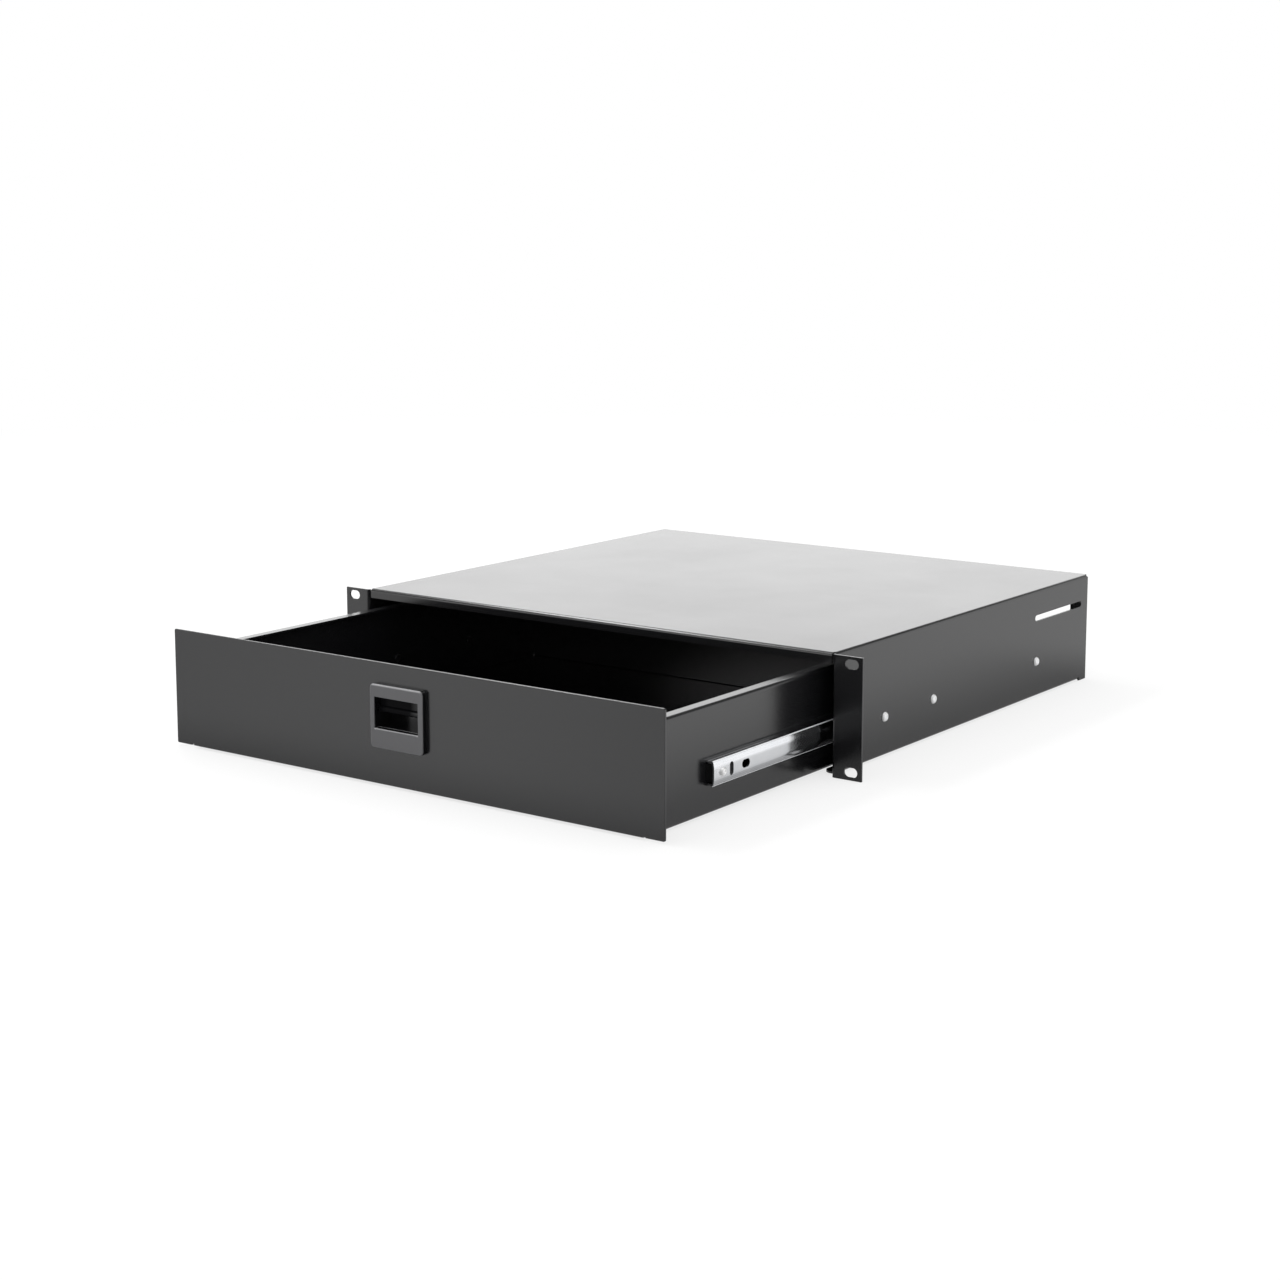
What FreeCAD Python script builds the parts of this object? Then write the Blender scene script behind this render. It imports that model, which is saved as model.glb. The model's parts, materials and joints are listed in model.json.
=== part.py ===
"""Two-unit sliding rack drawer: folded steel case with rack ears, ball-bearing slides, sprung push latch.

Frame: origin in the middle of the rack hole pattern, on the back face of the ears.
+X is the right-hand side seen from the front, +Y points into the rack, +Z is up. Millimetres.
At rest the drawer stands partly open, held by its slides; +slide is outwards, along -Y.
"""
import FreeCAD, Part
import math
import os

V = FreeCAD.Vector

# ---- Rack interface -------------------------------------------------------------------------
ear_span = 482.6            # across both ears, the 19 inch panel width
ear_height = 87.3           # two-unit panel height
ear_reach = 22.8            # each ear beyond the case wall
ear_hole_inset = 8.75       # hole column to the ear's outer edge
hole_span_z = 76.2          # outer holes of a two-unit panel, centre to centre
ear_slot_length = 10.8
ear_slot_width = 7.0

# ---- Case: one folded sheet -----------------------------------------------------------------
case_sheet = 1.5
case_top = 44.3             # height of the top face above the centre line
case_bottom = -42.4
case_rear_room = 34.3       # rear end of the slides to the case's rear face
bend_inside = 1.0           # inside radius of every fold
lip_bottom = 37.15          # lower edge of the lip that the latch catches
lip_front = -0.6
lip_end_gap = 1.3           # lip's end to the side wall
bottom_flange = 11.5        # width of the inward bottom flanges, outer face to edge
bottom_flange_corner = 7.0
bottom_flange_rear_gap = 14.0
rear_flange = 15.5
rear_flange_gap = 0.3       # rear flange's upper edge to the top sheet
rear_foot = 1.0             # side wall below the bottom flange, at the rear
corner_relief = 0.8         # slot left where two folds meet
side_slot_setback = 55.6    # slot's middle to the case's rear face
side_slot_z = 21.6
side_slot_length = 84.0
side_slot_width = 4.7

# ---- Rear tie bar ---------------------------------------------------------------------------
tie_height = 20.0
tie_sheet = 2.0
tie_rivet_radius = 2.0
tie_rivet_pitch = 11.0

# ---- Ball slides ----------------------------------------------------------------------------
slide_z = -13.65            # centre line of both slides
slide_sheet = 1.2
case_member_front = 59.2
drawer_member_length = 300.0
drawer_member_half = 8.5    # half height over the flanges
drawer_web_gap = 5.0        # case wall to the outer face of the drawer member's web
ball_radius = 2.0
ball_clearance = 0.05
race_depth = 0.6            # how deep each ball groove is pressed
race_inset = 3.4            # ball centre inwards from the drawer member's web
web_flat_half = 2.8         # flat middle of the drawer member's web
web_crown_radius = 15.9     # the web falls away in this radius above and below
flange_end_gap = 0.3
cage_sheet = 0.6
cage_length = 72.0
cage_end_room = 1.25        # cage to the case member's front end, drawer fully open
cage_window_end = 8.0
cage_window_height = 9.0
balls_per_row = 6
ball_pitch = 12.0
rivet_end = 9.6             # first rivet behind the front end of either member
case_rivet_second = 81.0
case_rivet_rear = 60.4      # last rivet to the case member's rear end
member_rivet_second = 155.0
member_rivet_rear = 56.0
rivet_radius = 2.0
rivet_head_radius = 3.6
rivet_head_height = 2.0
dome_radius = 3.1
dome_height = 2.3
rivet_tail_radius = 3.2
rivet_tail_height = 1.2
rivet_clearance = 0.05
member_slot_length = 9.2
upright_slot_width = 4.4
level_slot_width = 5.6
upright_slot_step = 20.4    # upright slot, behind the member's front end
level_slot_step = 37.3
spacer_half = 6.0
spacer_front_setback = 0.6
spacer_front_length = 27.0
spacer_length = 20.0
bumper_length = 5.0
bumper_gap = 0.4            # drawer member to the bumper when the drawer is shut
bumper_cover = 1.2          # case member beyond the bumper

# ---- Drawer ---------------------------------------------------------------------------------
opening_at_rest = 201.5     # how far the drawer stands open at rest
full_opening = 225.0
shut_gap = 0.5              # ears to the front panel when shut
side_gap = 11.5             # case wall to drawer side, the room for one slide
tray_sheet = 1.5
panel_overlap = 2.0         # panel beyond the case wall, each side
panel_bottom = -41.75
panel_top = 43.25
panel_corner = 1.2
floor_bottom = -42.0
side_top = 31.0
side_top_flange = 9.3
drawer_rear_room = 8.0      # rear wall to the case's rear face when shut
fold_notch = 2.1
fold_notch_depth = 4.0
slide_setback = 66.6        # front face to the drawer member's front end

# ---- Latch (depths are behind the front panel's face) -----------------------------------------
bezel_width = 47.6
bezel_height = 44.3
bezel_z = 6.6
bezel_proud = 4.0
bezel_corner = 3.2
bezel_edge = 0.8
mouth_width = 39.6
mouth_bottom = -1.9
mouth_top = 20.0
housing_wall = 1.8
housing_overlap = 1.4       # bezel beyond the housing's body, top and bottom
housing_top_wall = 1.2
housing_depth = 21.6
cut_out_clearance = 0.3
barb_length = 5.0
barb_rise = 1.4
barb_height = 12.0
cup_depth = 14.0
cup_back_wall = 1.2
pivot_back = 3.2
pivot_z = 22.2
pin_radius = 1.25
pin_clearance = 0.05
paddle_boss = 2.1
paddle_room = 0.7           # bezel skin's back to the boss
paddle_sheet = 2.0
paddle_end_gap = 0.4
finger_roll_radius = 2.6
finger_roll_z = 10.7
arm_length = 14.4
arm_half_angle = 9.3        # the arm starts this far above level and ends as far below
arm_width = 6.0
arm_sheet = 1.6
arm_tip_radius = 1.1
arm_slot_gap = 0.2
bolt_width = 14.0
bolt_front = 4.8
bolt_nose = 1.8             # flat part of the bolt's top, behind the catching face
bolt_top = 41.2
bolt_tail_top = 34.0
bolt_head_bottom = 32.4
stem_bottom = 14.0
stem_depth = 4.3
guide_gap = 0.25
spring_seat = 2.0
spring_wire = 0.4
spring_coil_radius = 1.9
spring_turns = 8
spring_pocket = 2.0

# ---- Worked-out places ----------------------------------------------------------------------
case_half = ear_span / 2 - ear_reach
hole_x = ear_span / 2 - ear_hole_inset
wall_in = case_half - case_sheet
bend_outside = bend_inside + case_sheet
ear_front = -case_sheet
panel_back_shut = ear_front - shut_gap
panel_front_shut = panel_back_shut - tray_sheet
panel_front = panel_front_shut - opening_at_rest
panel_half = case_half + panel_overlap
drawer_half = wall_in - side_gap
drawer_web = wall_in - drawer_web_gap
ball_x = drawer_web - race_inset
race_radius = ball_radius + ball_clearance
ball_rise = drawer_member_half - race_depth + race_radius
case_flange_in = ball_rise + race_radius - race_depth
member_front = panel_front + slide_setback
bumper_front = member_front + opening_at_rest + drawer_member_length + bumper_gap
case_member_rear = bumper_front + bumper_length + bumper_cover
case_member_length = case_member_rear - case_member_front
case_depth = case_member_rear + case_rear_room
drawer_rear = case_depth - drawer_rear_room - opening_at_rest
cage_lead = case_member_front + cage_end_room + (full_opening - opening_at_rest) / 2
flange_tip = drawer_half + flange_end_gap
panel_back = panel_front + tray_sheet
tray_bend = bend_inside + tray_sheet
floor_top = floor_bottom + tray_sheet
arm_angle = math.radians(arm_half_angle)
stem_front = cup_depth + cup_back_wall + guide_gap
stem_back = stem_front + stem_depth
spring_mid = stem_front + stem_depth / 2
housing_half = mouth_width / 2 + housing_wall
housing_bottom = bezel_z - bezel_height / 2 + housing_overlap
housing_top = bezel_z + bezel_height / 2 - housing_overlap


def box(x0, x1, y0, y1, z0, z1):
    """Plain block between two corners."""
    return Part.makeBox(x1 - x0, y1 - y0, z1 - z0, V(x0, y0, z0))


def rod(radius, start, direction, length):
    return Part.makeCylinder(radius, length, V(*start), V(*direction))


def turned(shape, point, direction, angle):
    copy = shape.copy()
    copy.rotate(V(*point), V(*direction), angle)
    return copy


def other_side(shape):
    """The same piece on the left-hand side."""
    return shape.mirror(V(0, 0, 0), V(1, 0, 0))


def rounded(shape, radius, along):
    """Round the edges that run along one axis."""
    edges = []
    for edge in shape.Edges:
        step = edge.Vertexes[-1].Point - edge.Vertexes[0].Point
        if step.Length > 1e-6 and abs(step.normalize().dot(V(*along))) > 0.999:
            edges.append(edge)
    return shape.makeFillet(radius, edges)


def rounded_at(shape, radius, along, spots):
    """Round the edges along one axis that pass through the given points across it."""
    axis = V(*along)
    edges = []
    for edge in shape.Edges:
        ends = [vertex.Point for vertex in edge.Vertexes]
        step = ends[-1] - ends[0]
        if step.Length < 1e-6 or abs(step.normalize().dot(axis)) < 0.999:
            continue
        for spot in spots:
            apart = ends[0] - V(*spot)
            if (apart - axis * apart.dot(axis)).Length < 0.01:
                edges.append(edge)
    return shape.makeFillet(radius, edges)


def slot(length, width, centre, through, along, depth):
    """Slotted hole as a solid cutter; along is its long way, through its depth way."""
    mid = V(*centre)
    deep = V(*through)
    way = V(*along)
    half = (length - width) / 2
    cutter = None
    for sign in (-1, 1):
        start = mid + way * (sign * half) - deep * (depth / 2)
        end = Part.makeCylinder(width / 2, depth, start, deep)
        cutter = end if cutter is None else cutter.fuse(end)
    across = deep.cross(way)
    corners = []
    for a, b in ((-1, -1), (1, -1), (1, 1), (-1, 1)):
        corners.append(mid + way * (a * half) + across * (b * width / 2) - deep * (depth / 2))
    face = Part.Face(Part.makePolygon(corners + corners[:1]))
    return cutter.fuse(face.extrude(deep * depth)).removeSplitter()


def prism_x(points, half):
    """Outline in the YZ plane, extruded to both sides of the centre."""
    corners = [V(-half, y, z) for y, z in points]
    face = Part.Face(Part.makePolygon(corners + corners[:1]))
    return face.extrude(V(2 * half, 0, 0))


def joined(shapes):
    whole = shapes[0]
    for shape in shapes[1:]:
        whole = whole.fuse(shape)
    return whole.removeSplitter()


def group(shapes):
    return Part.makeCompound(shapes)


# ---- Case -----------------------------------------------------------------------------------
def folded_tube(half, sheet, y0, y1, low, high):
    """Closed sheet section: top, sides and bottom with rounded folds."""
    outer = rounded(box(-half, half, y0, y1, low, high), bend_inside + sheet, (0, 1, 0))
    inner = box(-half + sheet, half - sheet, y0 - 1, y1 + 1, low + sheet, high - sheet)
    return outer.cut(rounded(inner, bend_inside, (0, 1, 0)))


def rack_ear():
    """Flat front of the right side wall, folded out to the rack."""
    side = box(wall_in, case_half, ear_front, bend_outside + corner_relief, -ear_height / 2, ear_height / 2)
    flat = box(wall_in, ear_span / 2, ear_front, 0, -ear_height / 2, ear_height / 2)
    ear = side.fuse(flat).removeSplitter()
    ear = rounded_at(ear, bend_outside, (0, 0, 1), [(wall_in, ear_front, 0)])
    ear = rounded_at(ear, bend_inside, (0, 0, 1), [(case_half, 0, 0)])
    for sign in (-1, 1):
        centre = (hole_x, ear_front / 2, sign * hole_span_z / 2)
        ear = ear.cut(slot(ear_slot_length, ear_slot_width, centre, (0, 1, 0), (1, 0, 0), 3 * case_sheet))
    above = box(0, case_half + bend_inside, bend_inside, case_depth, case_top - bend_outside, case_top + 1)
    below = box(0, case_half + bend_inside, bend_inside, case_depth, case_bottom - 3,
                case_bottom + bend_outside)
    return ear.cut(above).cut(below)


def front_lip():
    """Front edge of the top, folded down as the keeper for the latch."""
    half = wall_in - lip_end_gap
    lip = box(-half, half, lip_front, lip_front + case_sheet, lip_bottom, case_top)
    top = box(-half, half, lip_front, 2 * bend_outside + corner_relief, case_top - case_sheet, case_top)
    folded = lip.fuse(top).removeSplitter()
    folded = rounded_at(folded, bend_outside, (1, 0, 0), [(0, lip_front, case_top)])
    inside = (0, lip_front + case_sheet, case_top - case_sheet)
    return rounded_at(folded, bend_inside, (1, 0, 0), [inside])


def rear_return():
    """Right side wall folded inwards at the rear, standing a little lower than the bottom flange."""
    low = case_bottom - rear_foot
    high = case_top - case_sheet - rear_flange_gap
    side = box(wall_in, case_half, case_depth - bottom_flange_rear_gap, case_depth, low, high)
    flat = box(case_half - rear_flange, case_half, case_depth - case_sheet, case_depth, low, high)
    fold = side.fuse(flat).removeSplitter()
    fold = rounded_at(fold, bend_outside, (0, 0, 1), [(case_half, case_depth, 0)])
    fold = rounded_at(fold, bend_inside, (0, 0, 1), [(wall_in, case_depth - case_sheet, 0)])
    fold_top = box(0, ear_span, 0, case_depth - bend_outside, case_top - bend_outside, case_top)
    return fold.cut(fold_top)


def case_shell():
    front = bend_outside + corner_relief
    tube_back = case_depth - bend_outside - corner_relief
    tube = folded_tube(case_half, case_sheet, front, tube_back, case_bottom, case_top)
    flange_in = case_half - bottom_flange
    tube = tube.cut(box(-flange_in, flange_in, 0, case_depth, case_bottom - 1, case_bottom + 2 * case_sheet))
    rear_cut = case_depth - bottom_flange_rear_gap
    tube = tube.cut(box(-ear_span, ear_span, rear_cut, case_depth, case_bottom - 1,
                        case_bottom + bend_outside))
    top_rear = box(-case_half + bend_outside, case_half - bend_outside, case_depth / 2, case_depth,
                   case_top - case_sheet, case_top)
    pieces = [tube, top_rear, front_lip()]
    for make in (rack_ear, rear_return):
        pieces.append(make())
        pieces.append(other_side(make()))
    shell = joined(pieces)
    for sign in (-1, 1):
        corner = bottom_flange_corner
        edge = sign * flange_in
        near = edge + sign * corner
        square = box(min(edge, near), max(edge, near), front - 1, front + corner, case_bottom - 1,
                     case_bottom + case_sheet)
        disc = rod(corner, (near, front + corner, case_bottom - 2), (0, 0, 1), 6)
        shell = shell.cut(square.cut(disc))
        centre = (sign * (wall_in + case_sheet / 2), case_depth - side_slot_setback, side_slot_z)
        shell = shell.cut(slot(side_slot_length, side_slot_width, centre, (1, 0, 0), (0, 1, 0), 4))
        for spot in case_rivet_spots():
            hole = rod(rivet_radius + rivet_clearance, (sign * (wall_in - 1), spot, slide_z), (sign, 0, 0), 4)
            shell = shell.cut(hole)
        for x, z in tie_rivet_spots():
            start = (sign * x, case_depth - 4, z)
            shell = shell.cut(rod(tie_rivet_radius + rivet_clearance, start, (0, 1, 0), 8))
    return shell


def tie_rivet_spots():
    """Two rivets one above the other, in the middle of the rear flange."""
    x = case_half - rear_flange / 2 - case_sheet
    mid = case_bottom + bend_outside + tie_height / 2
    return [(x, mid - tie_rivet_pitch / 2), (x, mid + tie_rivet_pitch / 2)]


def rear_tie_bar():
    """Flat bar across the open rear, on the inside of the rear flanges."""
    half = wall_in - bend_outside
    low = case_bottom + bend_outside
    back = case_depth - case_sheet
    bar = rounded(box(-half, half, back - tie_sheet, back, low, low + tie_height), 4.0, (0, 1, 0))
    for sign in (-1, 1):
        for x, z in tie_rivet_spots():
            bar = bar.cut(rod(tie_rivet_radius + rivet_clearance, (sign * x, back - 5, z), (0, 1, 0), 8))
    return bar


def tie_bar_rivets():
    rivets = []
    for sign in (-1, 1):
        for x, z in tie_rivet_spots():
            shank_back = case_depth - case_sheet - tie_sheet - 0.8
            shank = rod(tie_rivet_radius, (sign * x, shank_back, z), (0, 1, 0), case_depth + 0.1 - shank_back)
            tail = rod(1.5 * tie_rivet_radius, (sign * x, shank_back, z), (0, 1, 0), 0.8)
            rivets.append(joined([shank, tail, dome((sign * x, case_depth, z), (0, 1, 0), 3.2, 1.4)]))
    return group(rivets)


# ---- Fasteners ------------------------------------------------------------------------------
def dome(centre, direction, radius, height):
    """Low domed rivet head standing on a face."""
    sphere_radius = (radius * radius + height * height) / (2 * height)
    lean = math.asin(radius / sphere_radius) / 2
    low = sphere_radius - height
    shoulder = V(sphere_radius * math.sin(lean), 0, sphere_radius * math.cos(lean) - low)
    arc = Part.Arc(V(radius, 0, 0), shoulder, V(0, 0, height)).toShape()
    base = Part.makeLine(V(0, 0, 0), V(radius, 0, 0))
    middle = Part.makeLine(V(0, 0, height), V(0, 0, 0))
    head = Part.Face(Part.Wire([base, arc, middle])).revolve(V(0, 0, 0), V(0, 0, 1), 360)
    head.Placement = FreeCAD.Placement(V(*centre), FreeCAD.Rotation(V(0, 0, 1), V(*direction)))
    return head


def case_rivet_spots():
    return [case_member_front + rivet_end, case_member_front + case_rivet_second,
            case_member_rear - case_rivet_rear]


def drawer_rivet_spots():
    return [member_front + rivet_end, member_front + member_rivet_second,
            member_front + drawer_member_length - member_rivet_rear]


def case_rivets():
    """Rivets through the right case wall; their inner ends are set flush so that the cage passes."""
    rivets = []
    for y in case_rivet_spots():
        inner = wall_in - slide_sheet
        shank = rod(rivet_radius, (inner, y, slide_z), (1, 0, 0), case_half + 0.1 - inner)
        rim = rod(rivet_head_radius, (case_half, y, slide_z), (1, 0, 0), 0.5)
        head = dome((case_half + 0.5, y, slide_z), (1, 0, 0), rivet_head_radius, rivet_head_height - 0.5)
        rivets.append(joined([shank, rim, head]))
    return group(rivets)


def drawer_rivets():
    """Rivets that clamp the right drawer member, its spacers and the drawer side."""
    rivets = []
    for y in drawer_rivet_spots():
        inner = drawer_half - tray_sheet
        tail = rod(rivet_tail_radius, (inner - rivet_tail_height, y, slide_z), (1, 0, 0), rivet_tail_height)
        shank = rod(rivet_radius, (inner - 0.1, y, slide_z), (1, 0, 0), drawer_web + 0.1 - inner + 0.1)
        head = dome((drawer_web, y, slide_z), (1, 0, 0), dome_radius, dome_height)
        rivets.append(joined([tail, shank, head]))
    return group(rivets)


# ---- Slides ---------------------------------------------------------------------------------
def race(radius, y0, length, sign):
    """Round bar along a ball row; the rows lie above and below the slide's centre line."""
    return rod(radius, (ball_x, y0, slide_z + sign * ball_rise), (0, 1, 0), length)


def case_member():
    """Outer channel on the case wall, with the ball grooves rolled into its flanges."""
    y0 = case_member_front
    y1 = y0 + case_member_length
    outer = case_flange_in + slide_sheet
    channel = box(flange_tip, wall_in, y0, y1, slide_z - outer, slide_z + outer)
    corners = [(wall_in, y0, slide_z - outer), (wall_in, y0, slide_z + outer)]
    channel = rounded_at(channel, 2 * slide_sheet, (0, 1, 0), corners)
    hollow = box(flange_tip - 1, wall_in - slide_sheet, y0 - 1, y1 + 1, slide_z - case_flange_in,
                 slide_z + case_flange_in)
    corners = [(wall_in - slide_sheet, y0, slide_z - case_flange_in),
               (wall_in - slide_sheet, y0, slide_z + case_flange_in)]
    hollow = rounded_at(hollow, slide_sheet, (0, 1, 0), corners)
    for sign in (-1, 1):
        low = slide_z + sign * case_flange_in
        high = low + sign * (2 * race_radius + slide_sheet)
        side = box(flange_tip, drawer_web, y0, y1, min(low, high), max(low, high))
        channel = channel.fuse(race(race_radius + slide_sheet, y0, y1 - y0, sign).common(side))
    channel = channel.cut(hollow)
    for sign in (-1, 1):
        channel = channel.cut(race(race_radius, y0 - 1, y1 - y0 + 2, sign))
    for y in case_rivet_spots():
        channel = channel.cut(rod(rivet_radius + rivet_clearance, (wall_in - 3, y, slide_z), (1, 0, 0), 4))
    return channel.removeSplitter()


def crown(inset, y0, length):
    """Body whose right face is the drawer member's web: flat in the middle, falling away on both sides."""
    middle = drawer_web - web_crown_radius
    body = box(middle, drawer_web - inset, y0, y0 + length, slide_z - web_flat_half, slide_z + web_flat_half)
    for sign in (-1, 1):
        start = (middle, y0, slide_z + sign * web_flat_half)
        body = body.fuse(rod(web_crown_radius - inset, start, (0, 1, 0), length))
    return body


def drawer_member():
    """Inner channel on the drawer: crowned web outwards, flanges towards the drawer side."""
    y0 = member_front
    y1 = y0 + drawer_member_length
    half = drawer_member_half
    channel = box(flange_tip, drawer_web, y0, y1, slide_z - half, slide_z + half)
    channel = channel.common(crown(0, y0, drawer_member_length)).removeSplitter()
    reach = math.sqrt(web_crown_radius ** 2 - (half - web_flat_half) ** 2)
    corner = drawer_web - web_crown_radius + reach
    channel = rounded_at(channel, slide_sheet / 2, (0, 1, 0), [(corner, y0, slide_z - half),
                                                               (corner, y0, slide_z + half)])
    hollow = box(flange_tip - 1, drawer_web, y0 - 1, y1 + 1, slide_z - half + slide_sheet,
                 slide_z + half - slide_sheet)
    hollow = hollow.common(crown(slide_sheet, y0 - 1, drawer_member_length + 2))
    for sign in (-1, 1):
        hollow = hollow.cut(race(race_radius + slide_sheet, y0 - 1, y1 - y0 + 2, sign))
    channel = channel.cut(hollow)
    for sign in (-1, 1):
        channel = channel.cut(race(race_radius, y0 - 1, y1 - y0 + 2, sign))
    for y in drawer_rivet_spots():
        channel = channel.cut(rod(rivet_radius + rivet_clearance, (drawer_web - 3, y, slide_z), (1, 0, 0), 4))
    for end, sign in ((y0, 1), (y1, -1)):
        upright = (drawer_web, end + sign * upright_slot_step, slide_z)
        level = (drawer_web, end + sign * level_slot_step, slide_z)
        channel = channel.cut(slot(member_slot_length, upright_slot_width, upright, (1, 0, 0), (0, 0, 1), 5))
        channel = channel.cut(slot(member_slot_length, level_slot_width, level, (1, 0, 0), (0, 1, 0), 5))
    return channel.removeSplitter()


def spacers():
    """Plastic blocks that fill the hollow of the drawer member at its rivets."""
    spans = [(member_front + spacer_front_setback, spacer_front_length)]
    for y in drawer_rivet_spots()[1:]:
        spans.append((y - spacer_length / 2, spacer_length))
    blocks = []
    for y0, length in spans:
        block = box(drawer_half, drawer_web, y0, y0 + length, slide_z - spacer_half, slide_z + spacer_half)
        block = rounded(block, 0.8, (1, 0, 0)).common(crown(slide_sheet, y0, length))
        for y in drawer_rivet_spots():
            if y0 < y < y0 + length:
                hole = rod(rivet_radius + rivet_clearance, (drawer_half - 1, y, slide_z), (1, 0, 0),
                           drawer_web - drawer_half + 2)
                block = block.cut(hole)
        blocks.append(block)
    return group(blocks)


def ball_rows():
    """Ball centres of one slide, along Y."""
    first = cage_lead + (cage_length - (balls_per_row - 1) * ball_pitch) / 2
    return [first + n * ball_pitch for n in range(balls_per_row)]


def ball_cage():
    """Pressed strip with a web along the case member and a leg through each ball row."""
    back = wall_in - slide_sheet - 0.2
    y0 = cage_lead
    leg = cage_sheet / 2
    outer = box(flange_tip + 1, back, y0, y0 + cage_length, slide_z - ball_rise - leg,
                slide_z + ball_rise + leg)
    inner = box(flange_tip, back - cage_sheet, y0 - 1, y0 + cage_length + 1, slide_z - ball_rise + leg,
                slide_z + ball_rise - leg)
    cage = outer.cut(inner)
    for y in ball_rows():
        cage = cage.cut(rod(ball_radius + 0.1, (ball_x, y, slide_z - 2 * ball_rise), (0, 0, 1),
                            4 * ball_rise))
    window = (back, y0 + cage_length / 2, slide_z)
    window_length = cage_length - 2 * cage_window_end
    return cage.cut(slot(window_length, cage_window_height, window, (1, 0, 0), (0, 1, 0), 4 * cage_sheet))


def slide_balls():
    balls = []
    for sign in (-1, 1):
        for y in ball_rows():
            balls.append(Part.makeSphere(ball_radius, V(ball_x, y, slide_z + sign * ball_rise)))
    return group(balls)


def slide_bumper():
    """Rubber block at the rear of the case member that the drawer member meets when shut."""
    y0 = bumper_front
    block = box(flange_tip + 1, wall_in - slide_sheet, y0, y0 + bumper_length, slide_z - case_flange_in,
                slide_z + case_flange_in)
    return rounded(block, slide_sheet, (0, 1, 0))


# ---- Drawer ---------------------------------------------------------------------------------
def rounded_front(shape, y, radius):
    """Break the outline edge of a front face."""
    edges = []
    for face in shape.Faces:
        box_of = face.BoundBox
        if abs(box_of.YMin - y) < 1e-6 and abs(box_of.YMax - y) < 1e-6:
            edges.extend(face.OuterWire.Edges)
    return shape.makeFillet(radius, edges)


def tray_front():
    """Front panel with the first strip of the floor folded from its lower edge."""
    panel = box(-panel_half, panel_half, panel_front, panel_back, panel_bottom, panel_top)
    panel = rounded_front(rounded(panel, panel_corner, (0, 1, 0)), panel_front, 0.4)
    fold_half = drawer_half - fold_notch
    strip_back = panel_back + fold_notch_depth
    strip = box(-fold_half, fold_half, panel_front, strip_back, floor_bottom, floor_top)
    strip = rounded_at(strip, bend_inside, (1, 0, 0), [(0, panel_front, floor_bottom)])
    front = rounded_at(joined([panel, strip]), bend_inside, (1, 0, 0), [(0, panel_back, floor_top)])
    half = housing_half + cut_out_clearance
    cut_out = box(-half, half, panel_front - 1, panel_back + 1, housing_bottom - cut_out_clearance,
                  housing_top + cut_out_clearance)
    front = front.cut(rounded(cut_out, 1.5, (0, 1, 0)))
    for sign in (-1, 1):
        edge = sign * fold_half
        end = sign * drawer_half
        front = front.cut(box(min(edge, end), max(edge, end), panel_front - 1, strip_back, floor_bottom - 1,
                              floor_top))
    return front


def tray_rear():
    """Rear wall folded up from the last strip of the floor."""
    half = drawer_half - tray_sheet
    strip = box(-half, half, drawer_rear - 2 * tray_bend, drawer_rear, floor_bottom, floor_top)
    wall = box(-half, half, drawer_rear - tray_sheet, drawer_rear, floor_bottom, side_top)
    rear = strip.fuse(wall).removeSplitter()
    rear = rounded_at(rear, tray_bend, (1, 0, 0), [(0, drawer_rear, floor_bottom)])
    return rounded_at(rear, bend_inside, (1, 0, 0), [(0, drawer_rear - tray_sheet, floor_top)])


def drawer_tray():
    """Tray folded from one sheet; the panel and the rear wall are welded to the sides at their ends."""
    tube = folded_tube(drawer_half, tray_sheet, panel_back, drawer_rear, floor_bottom, side_top)
    open_half = drawer_half - side_top_flange
    tube = tube.cut(box(-open_half, open_half, panel_back - 1, drawer_rear + 1, 0, side_top + 1))
    for y0, y1 in ((panel_back - 1, panel_back + fold_notch_depth),
                   (drawer_rear - tray_bend - corner_relief, drawer_rear + 1)):
        tube = tube.cut(box(-panel_half, panel_half, y0, y1, floor_bottom - 1, floor_bottom + tray_bend))
    tray = joined([tube, tray_front(), tray_rear()])
    for sign in (-1, 1):
        for y in drawer_rivet_spots():
            start = (sign * (drawer_half - 3), y, slide_z)
            tray = tray.cut(rod(rivet_radius + rivet_clearance, start, (sign, 0, 0), 4))
    return tray


# ---- Latch ----------------------------------------------------------------------------------
def behind(distance):
    """Y of a place this far behind the front panel's face."""
    return panel_front + distance


def latch_housing():
    """Moulded bezel with its finger cup, pin bearings and bolt guide."""
    low = bezel_z - bezel_height / 2
    high = bezel_z + bezel_height / 2
    bezel = box(-bezel_width / 2, bezel_width / 2, behind(-bezel_proud), behind(0), low, high)
    bezel = rounded(bezel, bezel_corner, (0, 1, 0))
    bezel = rounded_front(bezel, behind(-bezel_proud), bezel_edge)
    body = box(-housing_half, housing_half, behind(-0.5), behind(housing_depth), housing_bottom, housing_top)
    barb = snap_barb()
    housing = joined([bezel, rounded(body, 1.2, (0, 1, 0)), barb, other_side(barb)])
    mouth = mouth_width / 2
    housing = housing.cut(box(-mouth, mouth, behind(-bezel_proud - 1), behind(cup_depth), mouth_bottom,
                              mouth_top))
    skin = pivot_back - paddle_boss - paddle_room
    ceiling = housing_top - housing_top_wall
    housing = housing.cut(box(-mouth, mouth, behind(skin), behind(cup_depth), mouth_top - 1, ceiling))
    arm_half = arm_width / 2 + paddle_end_gap
    arm_low = pivot_z - arm_length * math.sin(arm_angle) - 2 * arm_tip_radius
    housing = housing.cut(box(-arm_half, arm_half, behind(cup_depth - 1), behind(stem_front), arm_low,
                              ceiling))
    guide_half = bolt_width / 2 + guide_gap
    guide = box(-guide_half, guide_half, behind(stem_front - guide_gap), behind(stem_back + guide_gap),
                spring_seat, housing_top + 1)
    housing = housing.cut(guide)
    hole = rod(pin_radius, (-housing_half - 1, behind(pivot_back), pivot_z), (1, 0, 0), 2 * housing_half + 2)
    return housing.cut(hole).removeSplitter()


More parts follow.
